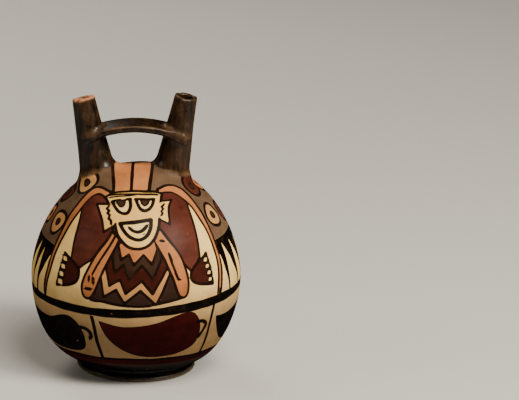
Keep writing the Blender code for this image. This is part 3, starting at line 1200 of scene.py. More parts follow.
        c.stroke(F, [(62.8, -6), (60.8, -14), (57, -28), (51, -47)], 0.85)
        c.stroke(F, [(-121, -8), (-116, -28), (-103, -50)], 0.95)
        c.area(B, Tone.BLACK, [
            (-52.2, -9.8, 1), (-39, -9.4), (-25, -7.4), (-7.5, -3.6), (2.5, -1.6), (8.8, -1.4), (12.5, -5),
            (15.6, -10.5), (17, -18), (15.6, -25.5), (10, -32.2), (0, -36), (-10, -37.6), (-20, -36.6),
            (-30, -32.4), (-40, -25), (-47.5, -17)], 0.0)
        c.stroke(B, [(14, -11.6), (20, -10.8), (23.6, -13.4), (23.8, -18), (20, -23.4)], 0.85)
        c.area(B, Tone.RED, [
            (34, -8.2, 1), (42.5, -10.2), (55, -13), (67.5, -14.4), (80, -14.2), (92, -11.4), (99, -10.4),
            (105, -14), (107, -21), (104, -30), (95, -38), (82, -43), (70, -45), (60, -43.2), (50, -39),
            (42.5, -33), (37.5, -27), (34.2, -17)], 0.3)
        c.stroke(B, [(104, -14), (109.6, -15), (112.6, -19), (110, -25)], 0.85)
        c.area(B, Tone.RED, [
            (-80, -1, 1), (-76, -1, 1), (-68.2, -19, 1), (-63.2, -1, 1), (-60, -1, 1), (-58.4, -26, 1),
            (-52.6, -46, 1), (-56.8, -46, 1), (-65, -29, 1), (-69, -48, 1), (-71.5, -48, 1),
            (-73.6, -26, 1)], 0.0)
        c.stroke(B, [(-58.6, 0), (-54, -20), (-47.6, -44)], 0.78)
        c.stroke(B, [(28.6, 0), (28.4, -20), (27.8, -41.5)], 0.9)

    def band(self) -> None:
        """Paint the black band round the widest part, over the ends of everything."""
        top = [
            (-103.7, -5.2), (-72.6, -6), (-24.4, -5.5), (0, -4.5), (23, -2.4), (42, -0.9), (72.6, 0.2),
            (103.7, 2), (119, 3.9), (134.4, 4.5), (168.5, 5), (199, 4.9), (218, 3.1), (226, 2.3),
            (233.4, 0.9), (241, -0.6), (248.7, -2.9)]
        foot = [
            (-103.7, -10.8), (-72.6, -11), (-15, -11), (0, -10.3), (23, -8.3), (42, -7.4), (72.6, -5),
            (103.7, -2.8), (119, -2.3), (134.4, -1.3), (180, -1), (203, -1.2), (218, -2.8), (226, -3.5),
            (233.4, -4.7), (241, -6.3), (248.7, -8.5)]
        self.canvas.ring(Tone.BLACK, top, foot, 0.3)

    def back_ground(self) -> None:
        """Paint the back's cream ground and its two pale borders."""
        c, B = self.canvas, View.BACK
        ground = [
            (-76.4, 0, 1), (-76.6, 10), (-74, 22), (-69.5, 33), (-65, 42), (-58, 54), (-54.4, 60, 1),
            (-44, 70, 1), (-20, 74, 1), (20, 74, 1), (44, 70, 1), (60.4, 60, 1), (68, 50), (74, 40), (79, 27),
            (80.6, 14), (80.6, 0, 1)]
        c.area(B, Tone.CREAM, ground, 0.7)
        left = [
            (-62.6, 59, 1), (-67.5, 47), (-71, 37), (-75, 25.5), (-77.6, 15), (-77.4, 7), (-76.2, -2, 1),
            (-75.2, -2, 1), (-74.8, 5), (-73, 13), (-70, 22), (-66, 32), (-62, 42), (-57.5, 52), (-54, 59, 1)]
        right = [
            (68.4, 58, 1), (74, 47), (79, 36), (82, 26), (83, 14), (82, 4), (81, -6, 1), (79.8, -6, 1),
            (79.2, 2), (78.8, 12), (76.8, 24), (72.4, 37), (66, 49.5), (60.4, 59, 1)]
        c.area(B, Tone.PALE, left, 0.65)
        c.area(B, Tone.PALE, right, 0.65)

    def back_figure(self) -> None:
        """Paint the whiskered feline figure on the back, holding a trophy head."""
        self.hair_and_face()
        self.back_limbs()
        self.mouth()
        self.whiskers()
        self.trophy()

    def hair_and_face(self) -> None:
        """Paint the dark cap of hair, the face under it and its eyes."""
        c, B = self.canvas, View.BACK
        cap = [
            (0, 8.2), (7, 9), (13, 11.6, 1), (18.6, 15.8), (22.2, 21.6), (24.4, 29.5), (25.6, 38),
            (25.6, 52, 1), (-25.6, 52, 1), (-26.2, 40), (-25.2, 31), (-22.6, 24), (-19, 18.6), (-14, 13.8, 1),
            (-7, 9.8)]
        c.area(View.PLAN, Tone.UMBER, cap, 0.65)
        face = [
            (-26.6, 73), (-24.8, 81), (-20, 87.6), (-13.5, 92.4), (-6, 94.4), (2, 94.6), (10, 93.2),
            (17, 89.4), (22.6, 84), (26, 78), (27.6, 70), (25.4, 60, 1), (14, 48, 1), (-14, 48, 1),
            (-23.4, 54, 1), (-25.6, 64)]
        c.area(B, Tone.RUSSET, face, 0.4)
        for middle in (-9.0, 9.6):
            c.area(B, Tone.YELLOW, [
                (middle - 6.6, 81.4, 1), (middle - 3.6, 85.8), (middle + 0.2, 87.4), (middle + 3.8, 85.8),
                (middle + 6.4, 82.8, 1), (middle + 3.4, 79), (middle - 0.4, 77.2), (middle - 4.2, 78.4)], 0.5)
            turn = 180 + math.degrees((middle + 0.2) / 37.6)
            c.disc(Tone.BLACK, turn, 82.6, 2.9, 0.0)

    def back_limbs(self) -> None:
        """Paint the arms, the hands with their nails, and the bracelets."""
        c, B = self.canvas, View.BACK
        lobes = (
            [(-63, 29.8, 1), (-57, 34.8), (-51.2, 39.6, 1), (-47.8, 35.4), (-44.6, 31.6, 1), (-41, 28, 1),
                (-43, 23, 1), (-50, 23), (-57, 25.4)],
            [(53.5, 50.8, 1), (60, 46), (68.6, 42, 1), (68.8, 36), (66, 30.4), (61, 26.6), (56, 24, 1),
                (50, 30, 1), (51.6, 38.6, 1)])
        for points in lobes:
            c.area(B, Tone.RUSSET, points, 0.6)
        left_arm = [
            (-37.8, 52, 1), (-38.6, 45), (-40, 38.2), (-41.8, 34), (-44.4, 31.4, 1), (-42.6, 27, 1),
            (-26.4, 27, 1), (-26, 18.6, 1), (-18.2, 18.4, 1), (-16.8, 25), (-16.6, 31), (-18.6, 36.5),
            (-22, 40, 1), (-27, 40.4, 1), (-27, 50, 1)]
        right_arm = [
            (30, 58, 1), (38.8, 59.4, 1), (41.8, 52.4), (45.6, 45), (51.6, 38.2, 1), (52, 33),
            (50.6, 28.6, 1), (38.6, 29, 1), (35.8, 21.8, 1), (28.5, 21.4), (25.6, 27), (25.2, 34),
            (26.6, 42, 1), (28, 46, 1)]
        c.area(B, Tone.SIENNA, left_arm, 0.6)
        c.area(B, Tone.SIENNA, right_arm, 0.6)
        left_fist = [
            (-43.8, 24, 1), (-44, 17), (-40.8, 10.2), (-36, 6.8), (-31.6, 6.6), (-27.8, 9.6), (-25.8, 15),
            (-25.8, 24, 1)]
        right_fist = [
            (37.4, 28, 1), (38.4, 19), (41.4, 11.8), (45.6, 7.8), (50.6, 7.4), (54.4, 11), (56.6, 17.6),
            (56.4, 24, 1), (52, 28, 1)]
        c.area(B, Tone.RUSSET, left_fist, 0.6)
        c.area(B, Tone.RUSSET, right_fist, 0.6)
        for x in (-38.8, -34.5, -30.2):
            c.stroke(B, [(x, 29), (x + 0.2, 22), (x + 0.4, 15), (x + 1.4, 9.8)], 0.42)
        for x in (42.1, 46.9, 51.4):
            c.stroke(B, [(x - 1.4, 36), (x, 29), (x + 0.4, 18), (x - 0.6, 10.6)], 0.45)
        nails = ((-40.9, 25.2, 1.15), (-36.7, 25.2, 1.35), (-32.4, 25.1, 1.25), (-28.2, 25.2, 1.1),
                 (39.8, 29.5, 1.15), (44.5, 29.4, 1.65), (49.3, 29.2, 1.25))
        for x, y, wide in nails:
            c.area(B, Tone.FIGURE, [
                (x - wide, y + 2.2, 1), (x + wide - 0.2, y + 2.3, 1), (x + wide, y - 2.3, 1),
                (x - wide + 0.2, y - 2.2, 1)], 0.3)
        c.stroke(B, [(-25.4, 33), (-26, 27), (-25.8, 19)], 0.4)
        c.stroke(B, [(35.4, 39), (36, 31), (36.2, 23)], 0.5)
        bracelets = (
            [(-26.2, 17.6, 1), (-19.4, 17.8, 1), (-21.2, 8.2, 1), (-27.6, 8.8, 1), (-26, 12.4)],
            [(30, 21, 1), (35.8, 21.4, 1), (38.4, 16), (40.6, 10.2, 1), (34.6, 9.8, 1), (31.6, 15)])
        for points in bracelets:
            c.area(B, Tone.CREAM, points, 0.65)
        c.stroke(B, [(-19.6, 18), (-20.2, 13.6), (-21.2, 8.6)], 0.75)
        c.stroke(B, [(-27.6, 8.7), (-21.4, 8.2)], 0.6)
        c.stroke(B, [(29.6, 20.6), (31.8, 15.4), (34.4, 10.2, 1), (41.4, 9.9)], 0.75)

    def whiskers(self) -> None:
        """Paint the two bundles of cream whiskers, each ending in curls."""
        c, B = self.canvas, View.BACK
        left = [
            (-22.8, 54, 1), (-25.4, 62), (-27.6, 71), (-28.9, 79), (-31.4, 83.4), (-36, 84.6), (-42, 82),
            (-45.8, 77.8), (-45.8, 74.6), (-42.8, 72.9), (-40.2, 72.8, 1), (-45, 71.8), (-50, 70.2),
            (-54, 66.6), (-55.8, 62.4), (-54.2, 59), (-50.4, 58.6), (-47.4, 60.4), (-45.2, 63, 1),
            (-42.6, 60.4), (-38, 54), (-33.4, 48.4), (-29.8, 44.6, 1), (-22, 47, 1)]
        right = [
            (24.8, 58.6, 1), (27.2, 66.6), (29, 76), (30.4, 83.6), (33.4, 87.2), (38, 87.4), (44.6, 85.4),
            (50.4, 81.6), (53.2, 77.6), (52.6, 74.2), (49, 72.8), (45.6, 73.4, 1), (50, 71.6), (55.4, 70.4),
            (61, 67), (65.4, 62.4), (66.4, 59.4), (63.6, 57.8), (59.4, 58), (56, 61), (53.8, 65.2, 1),
            (48, 65.4), (42, 62.8), (36.6, 58.6), (31.4, 54.4, 1), (24, 50, 1)]
        c.area(B, Tone.YELLOW, left, 0.72)
        c.area(B, Tone.YELLOW, right, 0.72)
        lines = (
            ([(-25.2, 50.6), (-28.4, 60.4), (-31, 69.6), (-32.6, 76.4), (-34.2, 80)], 0.7),
            ([(-27.8, 48), (-32, 57.6), (-35.2, 66), (-38, 71.6)], 0.78),
            ([(-30.4, 46.8), (-34.6, 53.6), (-38.8, 60.8), (-43, 67.6)], 0.68),
            ([(-34.6, 81), (-38.4, 81.6), (-42, 79.6), (-43.2, 76.8), (-41.2, 75), (-38.6, 75.8),
                (-38.4, 78)], 0.4),
            ([(-43.4, 68.8), (-47.4, 68.4), (-51.6, 66), (-53.2, 62.8), (-51.4, 61), (-49, 62),
                (-48.8, 64.2)], 0.4),
            ([(27.4, 58.8), (31.6, 69.4), (35, 78), (37.4, 82), (40.4, 84)], 0.85),
            ([(28.8, 57.4), (33.4, 64.4), (38.4, 70), (44, 73)], 1.05),
            ([(30.6, 56.4), (36.4, 61), (43, 65.6), (49.4, 68.6), (54.6, 68)], 0.6),
            ([(38, 83), (43, 83), (48, 80.6), (50.8, 77.4), (49.2, 75.2), (45.6, 75.2), (43.2, 77.2),
                (44.6, 79.2)], 0.4),
            ([(54.4, 67.6), (58.4, 66.8), (62.2, 64), (63.4, 61.4), (61.2, 60.2), (58.8, 61.8),
                (59, 63.8)], 0.4))
        for points, half in lines:
            c.stroke(B, points, half)
        c.stroke(B, [(-25, 44.6), (-29.2, 38.8)], 0.6)
        c.stroke(B, [(26.4, 50.6), (30.4, 46.8), (34, 43)], 0.5)

    def mouth(self) -> None:
        """Paint the mouth mask, the dark lips, and the tongue that drinks."""
        c, B = self.canvas, View.BACK
        mask = [
            (-2.4, 67, 1), (-5.4, 69.2), (-9, 69.9), (-14.6, 68.6), (-19.4, 65), (-22.2, 60), (-23.4, 52, 1),
            (-27, 48, 1), (-30.2, 44.8, 1), (-29.4, 41.4), (-30, 37.8, 1), (-26, 39), (-22.4, 39.6, 1),
            (-18, 38.2), (-12, 35.8), (-7, 33.9), (-2, 32, 1), (2.8, 31.6, 1), (8, 32.2), (14, 33.6),
            (20, 36.8), (24.6, 40.6), (26.6, 43.4), (26.8, 45.6, 1), (30, 44.2), (34.6, 42.2, 1), (31, 46.6),
            (27.2, 50.2, 1), (26, 56, 1), (24.8, 62.8), (21, 67.8), (15.4, 69.8), (11.4, 68.6),
            (7.8, 65.8, 1), (2.8, 62, 1)]
        c.area(B, Tone.YELLOW, mask, 0.9)
        lips = [(2.4 + 20.0 * math.cos(a), 54.0 + 11.4 * math.sin(a))
                for a in np.radians(np.arange(0, 360, 24))]
        c.area(B, Tone.UMBER, lips, 0.45)
        c.area(B, Tone.UMBER, [(-3.4, 67.6, 1), (8.6, 67, 1), (7.2, 61, 1), (-2.2, 61, 1)], 0.4)
        curls = (
            [(-10.4, 58, 1), (-6.4, 57.6, 1), (-9.4, 55.4), (-9.4, 52.4), (-6.8, 50.2, 1), (-8.6, 49.4),
                (-11.2, 50.4), (-12.8, 53.6), (-12.2, 56.4)],
            [(14.4, 58, 1), (10.8, 57.4, 1), (13, 55.6), (13, 53), (10.4, 51, 1), (12, 50.4), (15, 51.6),
                (16.4, 54.6), (15.8, 56.8)])
        for points in curls:
            c.area(B, Tone.YELLOW, points, 0.3)
        c.area(B, Tone.YELLOW, [
            (-9.8, 58.6, 1), (2, 59.6), (13.8, 58.6, 1), (12.8, 56.8, 1), (2, 57.2), (-8.8, 56.8, 1)], 0.4)
        c.area(B, Tone.OCHRE, [
            (-8, 55.6, 1), (11, 55.6, 1), (8.4, 45), (5.4, 36.4), (3.4, 29, 1), (-2.2, 29.2, 1), (-3, 37),
            (-5, 46)], 0.65)

    def trophy(self) -> None:
        """Paint the upturned trophy head with its hair, between the hands."""
        c, B = self.canvas, View.BACK
        locks = (
            [(20, 25.4, 1), (24.6, 24.6, 1), (27, 20.4), (30.6, 14.6, 1), (27.6, 11), (22, 8), (14, 4, 1),
                (12, 6, 1), (14, 14, 1)],
            [(-15.2, 22, 1), (-16.8, 17), (-19, 13), (-21, 10.4, 1), (-24.6, 8.4, 1), (-24, 6, 1),
                (-27, 4, 1), (-10, 3, 1), (-9, 14, 1)],
            [(-14, 2, 1), (-13, 8.6, 1), (16, 9, 1), (16, 2, 1)])
        for points in locks:
            c.area(B, Tone.UMBER, points, 0.3)
        head = [
            (-14.6, 29.4, 1), (-11.9, 22.4, 1), (-9.4, 28), (-6.6, 32.2, 1), (0.6, 34), (8.6, 32.2, 1),
            (12, 28), (15, 22.4, 1), (20, 29, 1), (20.4, 24), (20.8, 18), (20.4, 11.6, 1), (17, 12.4, 1),
            (15.2, 9, 1), (0, 8.2), (-14.6, 8.8, 1), (-18, 10.8, 1), (-16.4, 18)]
        c.area(B, Tone.SAND, head, 0.8)
        c.area(B, Tone.CREAM, [
            (-6.2, 25.4, 1), (-2, 28), (2.2, 28.6), (6, 27.6), (9.4, 24.8, 1), (4, 24.4), (-2, 24.5)], 0.55)
        for x, y, turned in ((-3.9, 17.6, 1.0), (7.4, 17.8, -1.0)):
            c.area(B, Tone.CREAM, [
                (x - 4.3 * turned, y - 1), (x - 3 * turned, y + 2.2), (x, y + 3.6),
                (x + 3.2 * turned, y + 1.8), (x + 4 * turned, y - 1.2), (x, y - 2.9)], 0.72)
            c.area(B, Tone.BLACK, [
                (x - 2.2 * turned, y + 2.8, 1), (x, y + 3.4), (x + 3.2 * turned, y + 1.6),
                (x + 2.4 * turned, y - 0.6), (x + 0.4 * turned, y - 0.8), (x - 0.2 * turned, y + 1.2),
                (x - 1.8 * turned, y + 1.6)], 0.0)
        c.stroke(B, [(-11.6, 11), (0, 11.8), (13.4, 12.4)], 0.8)
        c.stroke(B, [(19, 23), (16.8, 21.4, 1), (18.6, 20.2, 1), (16.8, 18.6)], 0.42)


# ------------------------------ materials

def srgb(red: int, green: int, blue: int) -> Colour:
    """Return a linear colour from 0-255 display values, by the display's own curve."""
    values = [c / 255.0 for c in (red, green, blue)]
    return tuple(c / 12.92 if c <= 0.04045 else ((c + 0.055) / 1.055) ** 2.4 for c in values) + (1.0,)


class Wire:
    """An output of a shader node, with arithmetic that adds maths nodes."""

    def __init__(self, graph: "Graph", socket: bpy.types.NodeSocket) -> None:
        """Hold a socket and the graph that it belongs to."""
        self.graph, self.socket = graph, socket

    def maths(self, operation: str, *values: Any, clamp: bool = False) -> "Wire":
        """Add a maths node.

        Args:
            operation: The node's operation.
            values: Wires or numbers for its inputs.
            clamp: Whether the result is held between 0 and 1.

        Returns:
            The result as a Wire.
        """
        node = self.graph.tree.nodes.new("ShaderNodeMath")
        node.operation = operation
        node.use_clamp = clamp
        for index, value in enumerate(values):
            self.graph.feed(node.inputs[index], value)
        return Wire(self.graph, node.outputs[0])

    def __add__(self, other: Any) -> "Wire":
        """Return self + other."""
        return self.maths("ADD", self, other)

    def __sub__(self, other: Any) -> "Wire":
        """Return self - other."""
        return self.maths("SUBTRACT", self, other)

    def __rsub__(self, other: Any) -> "Wire":
        """Return other - self."""
        return self.maths("SUBTRACT", other, self)

    def __mul__(self, other: Any) -> "Wire":
        """Return self * other."""
        return self.maths("MULTIPLY", self, other)

    __radd__, __rmul__ = __add__, __mul__

    def __abs__(self) -> "Wire":
        """Return the value without its sign."""
        return self.maths("ABSOLUTE", self)

    def least(self, other: Any) -> "Wire":
        """Return the smaller of two values."""
        return self.maths("MINIMUM", self, other)

    def most(self, other: Any) -> "Wire":
        """Return the larger of two values."""
        return self.maths("MAXIMUM", self, other)

    def line(self, slope: float, offset: float) -> "Wire":
        """Return slope * value + offset, held between 0 and 1."""
        return self.maths("MULTIPLY_ADD", self, slope, offset, clamp=True)

    def rise(self, low: float, high: float) -> "Wire":
        """Return 0 below low, 1 above high, and a straight ramp between them."""
        return self.line(1.0 / (high - low), -low / (high - low))


class Graph:
    """A material's node tree, built by calls."""

    def __init__(self, name: str) -> None:
        """Start a material with its shader and object coordinates.

        Args:
            name: The material's name.
        """
        self.material = bpy.data.materials.new(name)
        self.material.use_nodes = True
        self.tree = self.material.node_tree
        self.shader = self.tree.nodes["Principled BSDF"]
        self.place = self.node("ShaderNodeTexCoord", output="Object")

    def feed(self, socket: bpy.types.NodeSocket, value: Any) -> None:
        """Link a wire to a socket, or set the socket to a plain value.

        Args:
            socket: The node's input.
            value: The wire or the value.
        """
        if isinstance(value, Wire):
            self.tree.links.new(value.socket, socket)
        else:
            socket.default_value = value

    def finish(self, **sockets: Any) -> bpy.types.Material:
        """Feed the shader's sockets, a low line standing for each space in a name.

        Args:
            sockets: A wire or a plain value for each socket.

        Returns:
            The material.
        """
        for name, value in sockets.items():
            self.feed(self.shader.inputs[name.replace("_", " ")], value)
        return self.material

    def node(self, kind: str, output: int | str = 0, inputs: dict | None = None, **settings: Any) -> Wire:
        """Add any node.

        Args:
            kind: The node's type name.
            output: Name or index of the output to return.
            inputs: Values or wires by input name or index.
            settings: Properties of the node.

        Returns:
            The output as a Wire.
        """
        node = self.tree.nodes.new(kind)
        for name, value in settings.items():
            setattr(node, name, value)
        for name, value in (inputs or {}).items():
            self.feed(node.inputs[name], value)
        return Wire(self, node.outputs[output])

    def split(self, vector: Wire) -> list[Wire]:
        """Return a vector's three values.

        Args:
            vector: The vector.

        Returns:
            A wire for each value.
        """
        node = self.tree.nodes.new("ShaderNodeSeparateXYZ")
        self.feed(node.inputs[0], vector)
        return [Wire(self, socket) for socket in node.outputs]

    def stretched(self, scale: Point) -> Wire:
        """Return object coordinates scaled apart along X, Y and Z."""
        return self.node("ShaderNodeMapping", inputs={"Vector": self.place, "Scale": scale})

    def noise(self, scale: float, detail: float = 2.0, rough: float = 0.5, place: Wire | None = None) -> Wire:
        """Return a noise that averages one half, on object coordinates unless others are given."""
        return self.node("ShaderNodeTexNoise", "Fac", {
            "Vector": place or self.place, "Scale": scale, "Detail": detail, "Roughness": rough})

    def blend(self, factor: Any, low: Any, high: Any, mode: str = "MIX") -> Wire:
        """Return a colour between two colours.

        Args:
            factor: 0 for the first colour and 1 for the second.
            low: The first colour.
            high: The second.
            mode: The mix node's way of blending.

        Returns:
            The colour as a Wire.
        """
        node = self.tree.nodes.new("ShaderNodeMix")
        node.data_type = "RGBA"
        node.blend_type = mode
        for name, value in (("Factor_Float", factor), ("A_Color", low), ("B_Color", high)):
            socket = next(s for s in node.inputs if s.identifier == name)
            self.feed(socket, value)
        return Wire(self, next(s for s in node.outputs if s.identifier == "Result_Color"))


class PaintedGraph(Graph):
    """A node tree with the painting on the vertices and the noises that the finish shares."""

    def __init__(self, name: str) -> None:
        """Read the tones, the marks and (side, guard) of each layer of ink lines.

        Args:
            name: The material's name.
        """
        super().__init__(name)
        rows = []
        for index in range(FIELD_COUNT):
            packed = self.node("ShaderNodeAttribute", "Vector", attribute_name=f"paint_{index}")
            rows.extend(self.split(packed))
        self.tones = {tone: rows[tone.value] for tone in Tone}
        self.marks = {mark: rows[mark.row] for mark in Mark}
        self.strokes = list(zip(rows[STROKE_ROW::2], rows[STROKE_ROW + 1::2]))
        self.broad = self.noise(16.0)
        self.mottle = self.noise(95.0, 4.0, 0.6)
        self.grit = self.noise(620.0, 2.0, 0.6)
        self.wiped = self.noise(1.0, 3.0, 0.6, self.stretched((26.0, 26.0, 240.0)))
        self.drawn = self.noise(1.0, 3.0, 0.6, self.stretched((330.0, 330.0, 34.0)))
        self.brushed = self.noise(70.0)
        self.patchy, self.gritty, self.streaky = self.mottle - 0.5, self.grit - 0.5, self.brushed - 0.5


@dataclass(frozen=True)
class Slip:
    """How one slip colour looks: its colour, its other shade, and its roughness."""

    tone: Tone
    colour: Colour
    shade: Colour
    rough: float = 0.48


SLIPS = (
    Slip(Tone.FIGURE, srgb(238, 200, 128), srgb(222, 176, 98)),
    Slip(Tone.TAN, srgb(230, 188, 112), srgb(212, 162, 80)),
    Slip(Tone.SAND, srgb(164, 122, 62), srgb(146, 104, 50)),
    Slip(Tone.YELLOW, srgb(226, 200, 124), srgb(204, 170, 80)),
    Slip(Tone.OCHRE, srgb(154, 106, 40), srgb(136, 88, 28)),
    Slip(Tone.PALE, srgb(188, 140, 88), srgb(166, 116, 68)),
    Slip(Tone.RUSSET, srgb(74, 46, 32), srgb(58, 32, 20), 0.46),
    Slip(Tone.SIENNA, srgb(98, 58, 38), srgb(72, 38, 24), 0.46),
    Slip(Tone.ORANGE, srgb(178, 116, 71), srgb(158, 96, 54)),
    Slip(Tone.AMBER, srgb(184, 120, 73), srgb(164, 100, 56)),
    Slip(Tone.MANTLE, srgb(102, 80, 60), srgb(80, 60, 44)),
    Slip(Tone.UMBER, srgb(58, 40, 30), srgb(43, 28, 20), 0.44),
    Slip(Tone.MAROON, srgb(88, 46, 35), srgb(62, 28, 20), 0.44),
    Slip(Tone.WINE, srgb(62, 27, 20), srgb(46, 16, 12), 0.44),
    Slip(Tone.CRIMSON, srgb(90, 25, 18), srgb(62, 12, 9), 0.44),
    Slip(Tone.RED, srgb(116, 28, 15), srgb(76, 11, 8), 0.42),
    Slip(Tone.BLACK, srgb(12, 7, 4), srgb(6, 3, 2), 0.42),
)


@dataclass(frozen=True)
class PaintedClay:
    """The finish of the whole vessel: painted wall, dark spouts and bridge, worn rims."""

    cream: Colour = srgb(238, 206, 134)
    cream_shade: Colour = srgb(222, 180, 102)
    grime: Colour = srgb(120, 86, 50)
    # a cool tint multiplied in towards the foot, as part of the painted shade there
    foot_shade_tint: Colour = srgb(205, 200, 226)
    # multiplied in for dust, and towards the foot as painted shade
    dust_and_foot_shade: Colour = srgb(86, 78, 84)
    ink: Colour = srgb(24, 14, 9)
    ink_thin: Colour = srgb(50, 35, 24)
    clay: Colour = srgb(8, 4, 2)
    # warm brown of the streaks: partly the clay's own tone, partly painted sheen
    clay_warm_and_sheen: Colour = srgb(53, 33, 16)
    clay_worn: Colour = srgb(112, 86, 60)
    # the painted highlight along the foot ring's lip
    lip_highlight: Colour = srgb(126, 112, 92)
    terracotta: Colour = srgb(168, 112, 80)
    inside: Colour = srgb(80, 48, 32)
    speck: Colour = srgb(190, 112, 66)
    edge_soft: float = 0.28     # mm over which one slip gives way to the next
    clay_soft: float = 0.7      # the same where the painting stops at the spouts
    slip_rough: float = 0.42
    clay_rough: float = 0.34
    burnish: float = 0.078      # coat on the spouts and strap
    foot_gloss: float = 0.05    # coat low on the foot
    slip_gloss: float = 0.012   # coat everywhere else
    coat_rough: float = 0.3
    coat_bend: float = 2.8
    relief_strength: float = 0.35
    relief_depth: float = 0.0006
    lip_highlight_height: float = 0.0045  # how high the painted highlight on the foot ring's lip reaches, m

    def material(self) -> bpy.types.Material:
        """Make the finish: slips, ink, wear and grime, painted shade towards the foot and a painted highlight
        on its lip, with bare clay laid over them.

        Returns:
            The material.
        """
        g = PaintedGraph("slipped_clay_painted")
        colour, rough = self.slips(g)
        line = self.lines(g)
        thin = (g.mottle + g.gritty * 0.5).rise(0.52, 0.78)
        colour = g.blend(line, colour, g.blend(thin, self.ink, self.ink_thin))
        rubbed = (g.mottle * 0.8 + g.grit * 0.35 + g.broad * 0.3).rise(0.74, 0.95)
        for tone, bare, amount in ((Tone.RED, self.speck, 0.45), (Tone.BLACK, self.grime, 0.16)):
            colour = g.blend(g.tones[tone].line(-1.0, -0.6) * rubbed * amount, colour, bare)
        colour = self.weather_and_shade(g, colour)
        clay_colour, clay_rough = self.bare_clay(g)
        clay = (g.marks[Mark.CLAY] + g.patchy * 1.6).line(-1.0 / self.clay_soft, 0.5)
        colour = g.blend(clay, colour, clay_colour)
        colour = g.blend(g.marks[Mark.INSIDE].line(1.0, 0.0), colour, self.inside)
        rough = rough + clay * (clay_rough - rough)

        joint = g.marks[Mark.JOINT].line(2.0, 0.0)
        burnished = clay * (1.0 - self.bare_rim(g.marks[Mark.RIM])) * (1.0 - joint)
        coat = (burnished * self.burnish).most(g.marks[Mark.LOW].rise(0.91, 0.96) * self.foot_gloss)
        relief = g.grit * 0.2 + g.mottle * 0.5 + g.wiped * 0.3 + line * 0.12 + clay * g.drawn * 0.12
        bump = g.node("ShaderNodeBump", "Normal", {
            "Height": relief, "Strength": self.relief_strength, "Distance": self.relief_depth})
        return g.finish(Base_Color=colour, Roughness=rough.line(1.0, 0.0), Normal=bump,
                        Coat_Weight=coat.most(self.slip_gloss), Coat_Roughness=self.coat_rough,
                        Coat_IOR=self.coat_bend, Specular_IOR_Level=0.0)

    def slips(self, g: PaintedGraph) -> tuple[Wire, Wire]:
        """Return the painted slips, each laid over the last one inside its own edge.

        Args:
            g: The material's graph.

        Returns:
            (colour, roughness).
        """
        shade = (g.broad * 0.9 + g.mottle * 0.6 + g.wiped * 0.45).rise(0.72, 1.25)
        colour = g.blend(shade, self.cream, self.cream_shade)
        rough = self.slip_rough + g.patchy * 0.12
        for slip in SLIPS:
            mask = g.tones[slip.tone].line(-1.0 / self.edge_soft, 0.5)
            colour = g.blend(mask, colour, g.blend(shade, slip.colour, slip.shade))
            rough = rough + mask * (slip.rough - self.slip_rough) * 0.5
        return colour, rough

    def lines(self, g: PaintedGraph) -> Wire:
        """Return where the ink lies: along the slips' edges, and on the drawn lines.

        Args:
            g: The material's graph.

        Returns:
            1 on the ink and 0 off it.
        """
        edge = abs(g.tones[Tone.FIGURE])
        for tone in Tone:
            if tone not in (Tone.CREAM, Tone.FIGURE):
                edge = edge.least(abs(g.tones[tone]))
        width = g.marks[Mark.INK] * (0.72 + g.brushed * 0.56)
        line = ((width - edge + g.gritty * 0.16) * (1.0 / self.edge_soft)).line(1.0, 0.0)
        for side, guard in g.strokes:
            body = (1.0 - abs(side) + g.streaky * 0.5 + g.gritty * 0.2).line(3.2, 0.25)
            line = line.most(body * (1.75 - guard).line(3.0, 0.0))
        return line

    @staticmethod
    def bare_rim(rim: Wire) -> Wire:
        """Return 1 near a bare rim and 0 away from it, from the distance to it."""
        return rim.line(-0.8, 1.1)

    def weather_and_shade(self, g: PaintedGraph, colour: Wire) -> Wire:
        """Return the colour with grime, small losses, painted shade that darkens and cools it towards the
        foot, and a painted highlight on the foot's lip.

        Args:
            g: The material's graph.
            colour: The clean painting.

        Returns:
            The weathered colour, with its painted shade and highlight.
        """
        grimy = (g.mottle * 0.7 + g.broad * 0.5 + g.wiped * 0.3).rise(0.86, 1.25)
        dusty = (g.grit * 0.5 + g.mottle * 0.75).rise(0.52, 0.86)
        low = g.marks[Mark.LOW]
        # grime and dust first, then painted shade: darker and cooler towards the foot
        for amount, dirt_and_shade in ((grimy * 0.38, self.grime), (dusty * 0.16, self.dust_and_foot_shade),
                             (low.line(2.2, -0.1), self.foot_shade_tint),
                             (low.line(1.2, -0.05).least(0.64), self.dust_and_foot_shade)):
            colour = g.blend(amount, colour, dirt_and_shade, "MULTIPLY")
        specks = g.node("ShaderNodeTexVoronoi", "Distance", {"Vector": g.place, "Scale": 210.0})
        seed = g.noise(60.0, 1.0)
        lost = (0.16 - specks).line(9.0, 0.0) * (seed - 0.60).line(12.0, 0.0)
        dark = (0.13 - specks).line(12.0, 0.0) * (0.40 - seed).line(12.0, 0.0)
        colour = g.blend(lost * 0.8, colour, self.speck)
        colour = g.blend(dark * 0.6, colour, self.ink_thin)
        # a painted highlight along the sharp edge of the foot ring's lip
        lip = (g.marks[Mark.WORN] * 2.0 + g.patchy * 0.9).line(1.0, -0.2)
        lip_highlight_zone = (self.lip_highlight_height - g.split(g.place)[2]).line(900.0, 0.0)
        return g.blend(lip * lip_highlight_zone * 0.5, colour, self.lip_highlight)

    def bare_clay(self, g: PaintedGraph) -> tuple[Wire, Wire]:
        """Return the dark burnished spouts and bridge, worn on their edges and joints, with warm vertical
        streaks that are partly the burnish's own tone and partly painted sheen.

        Args:
            g: The material's graph.

        Returns:
            (colour, roughness).
        """
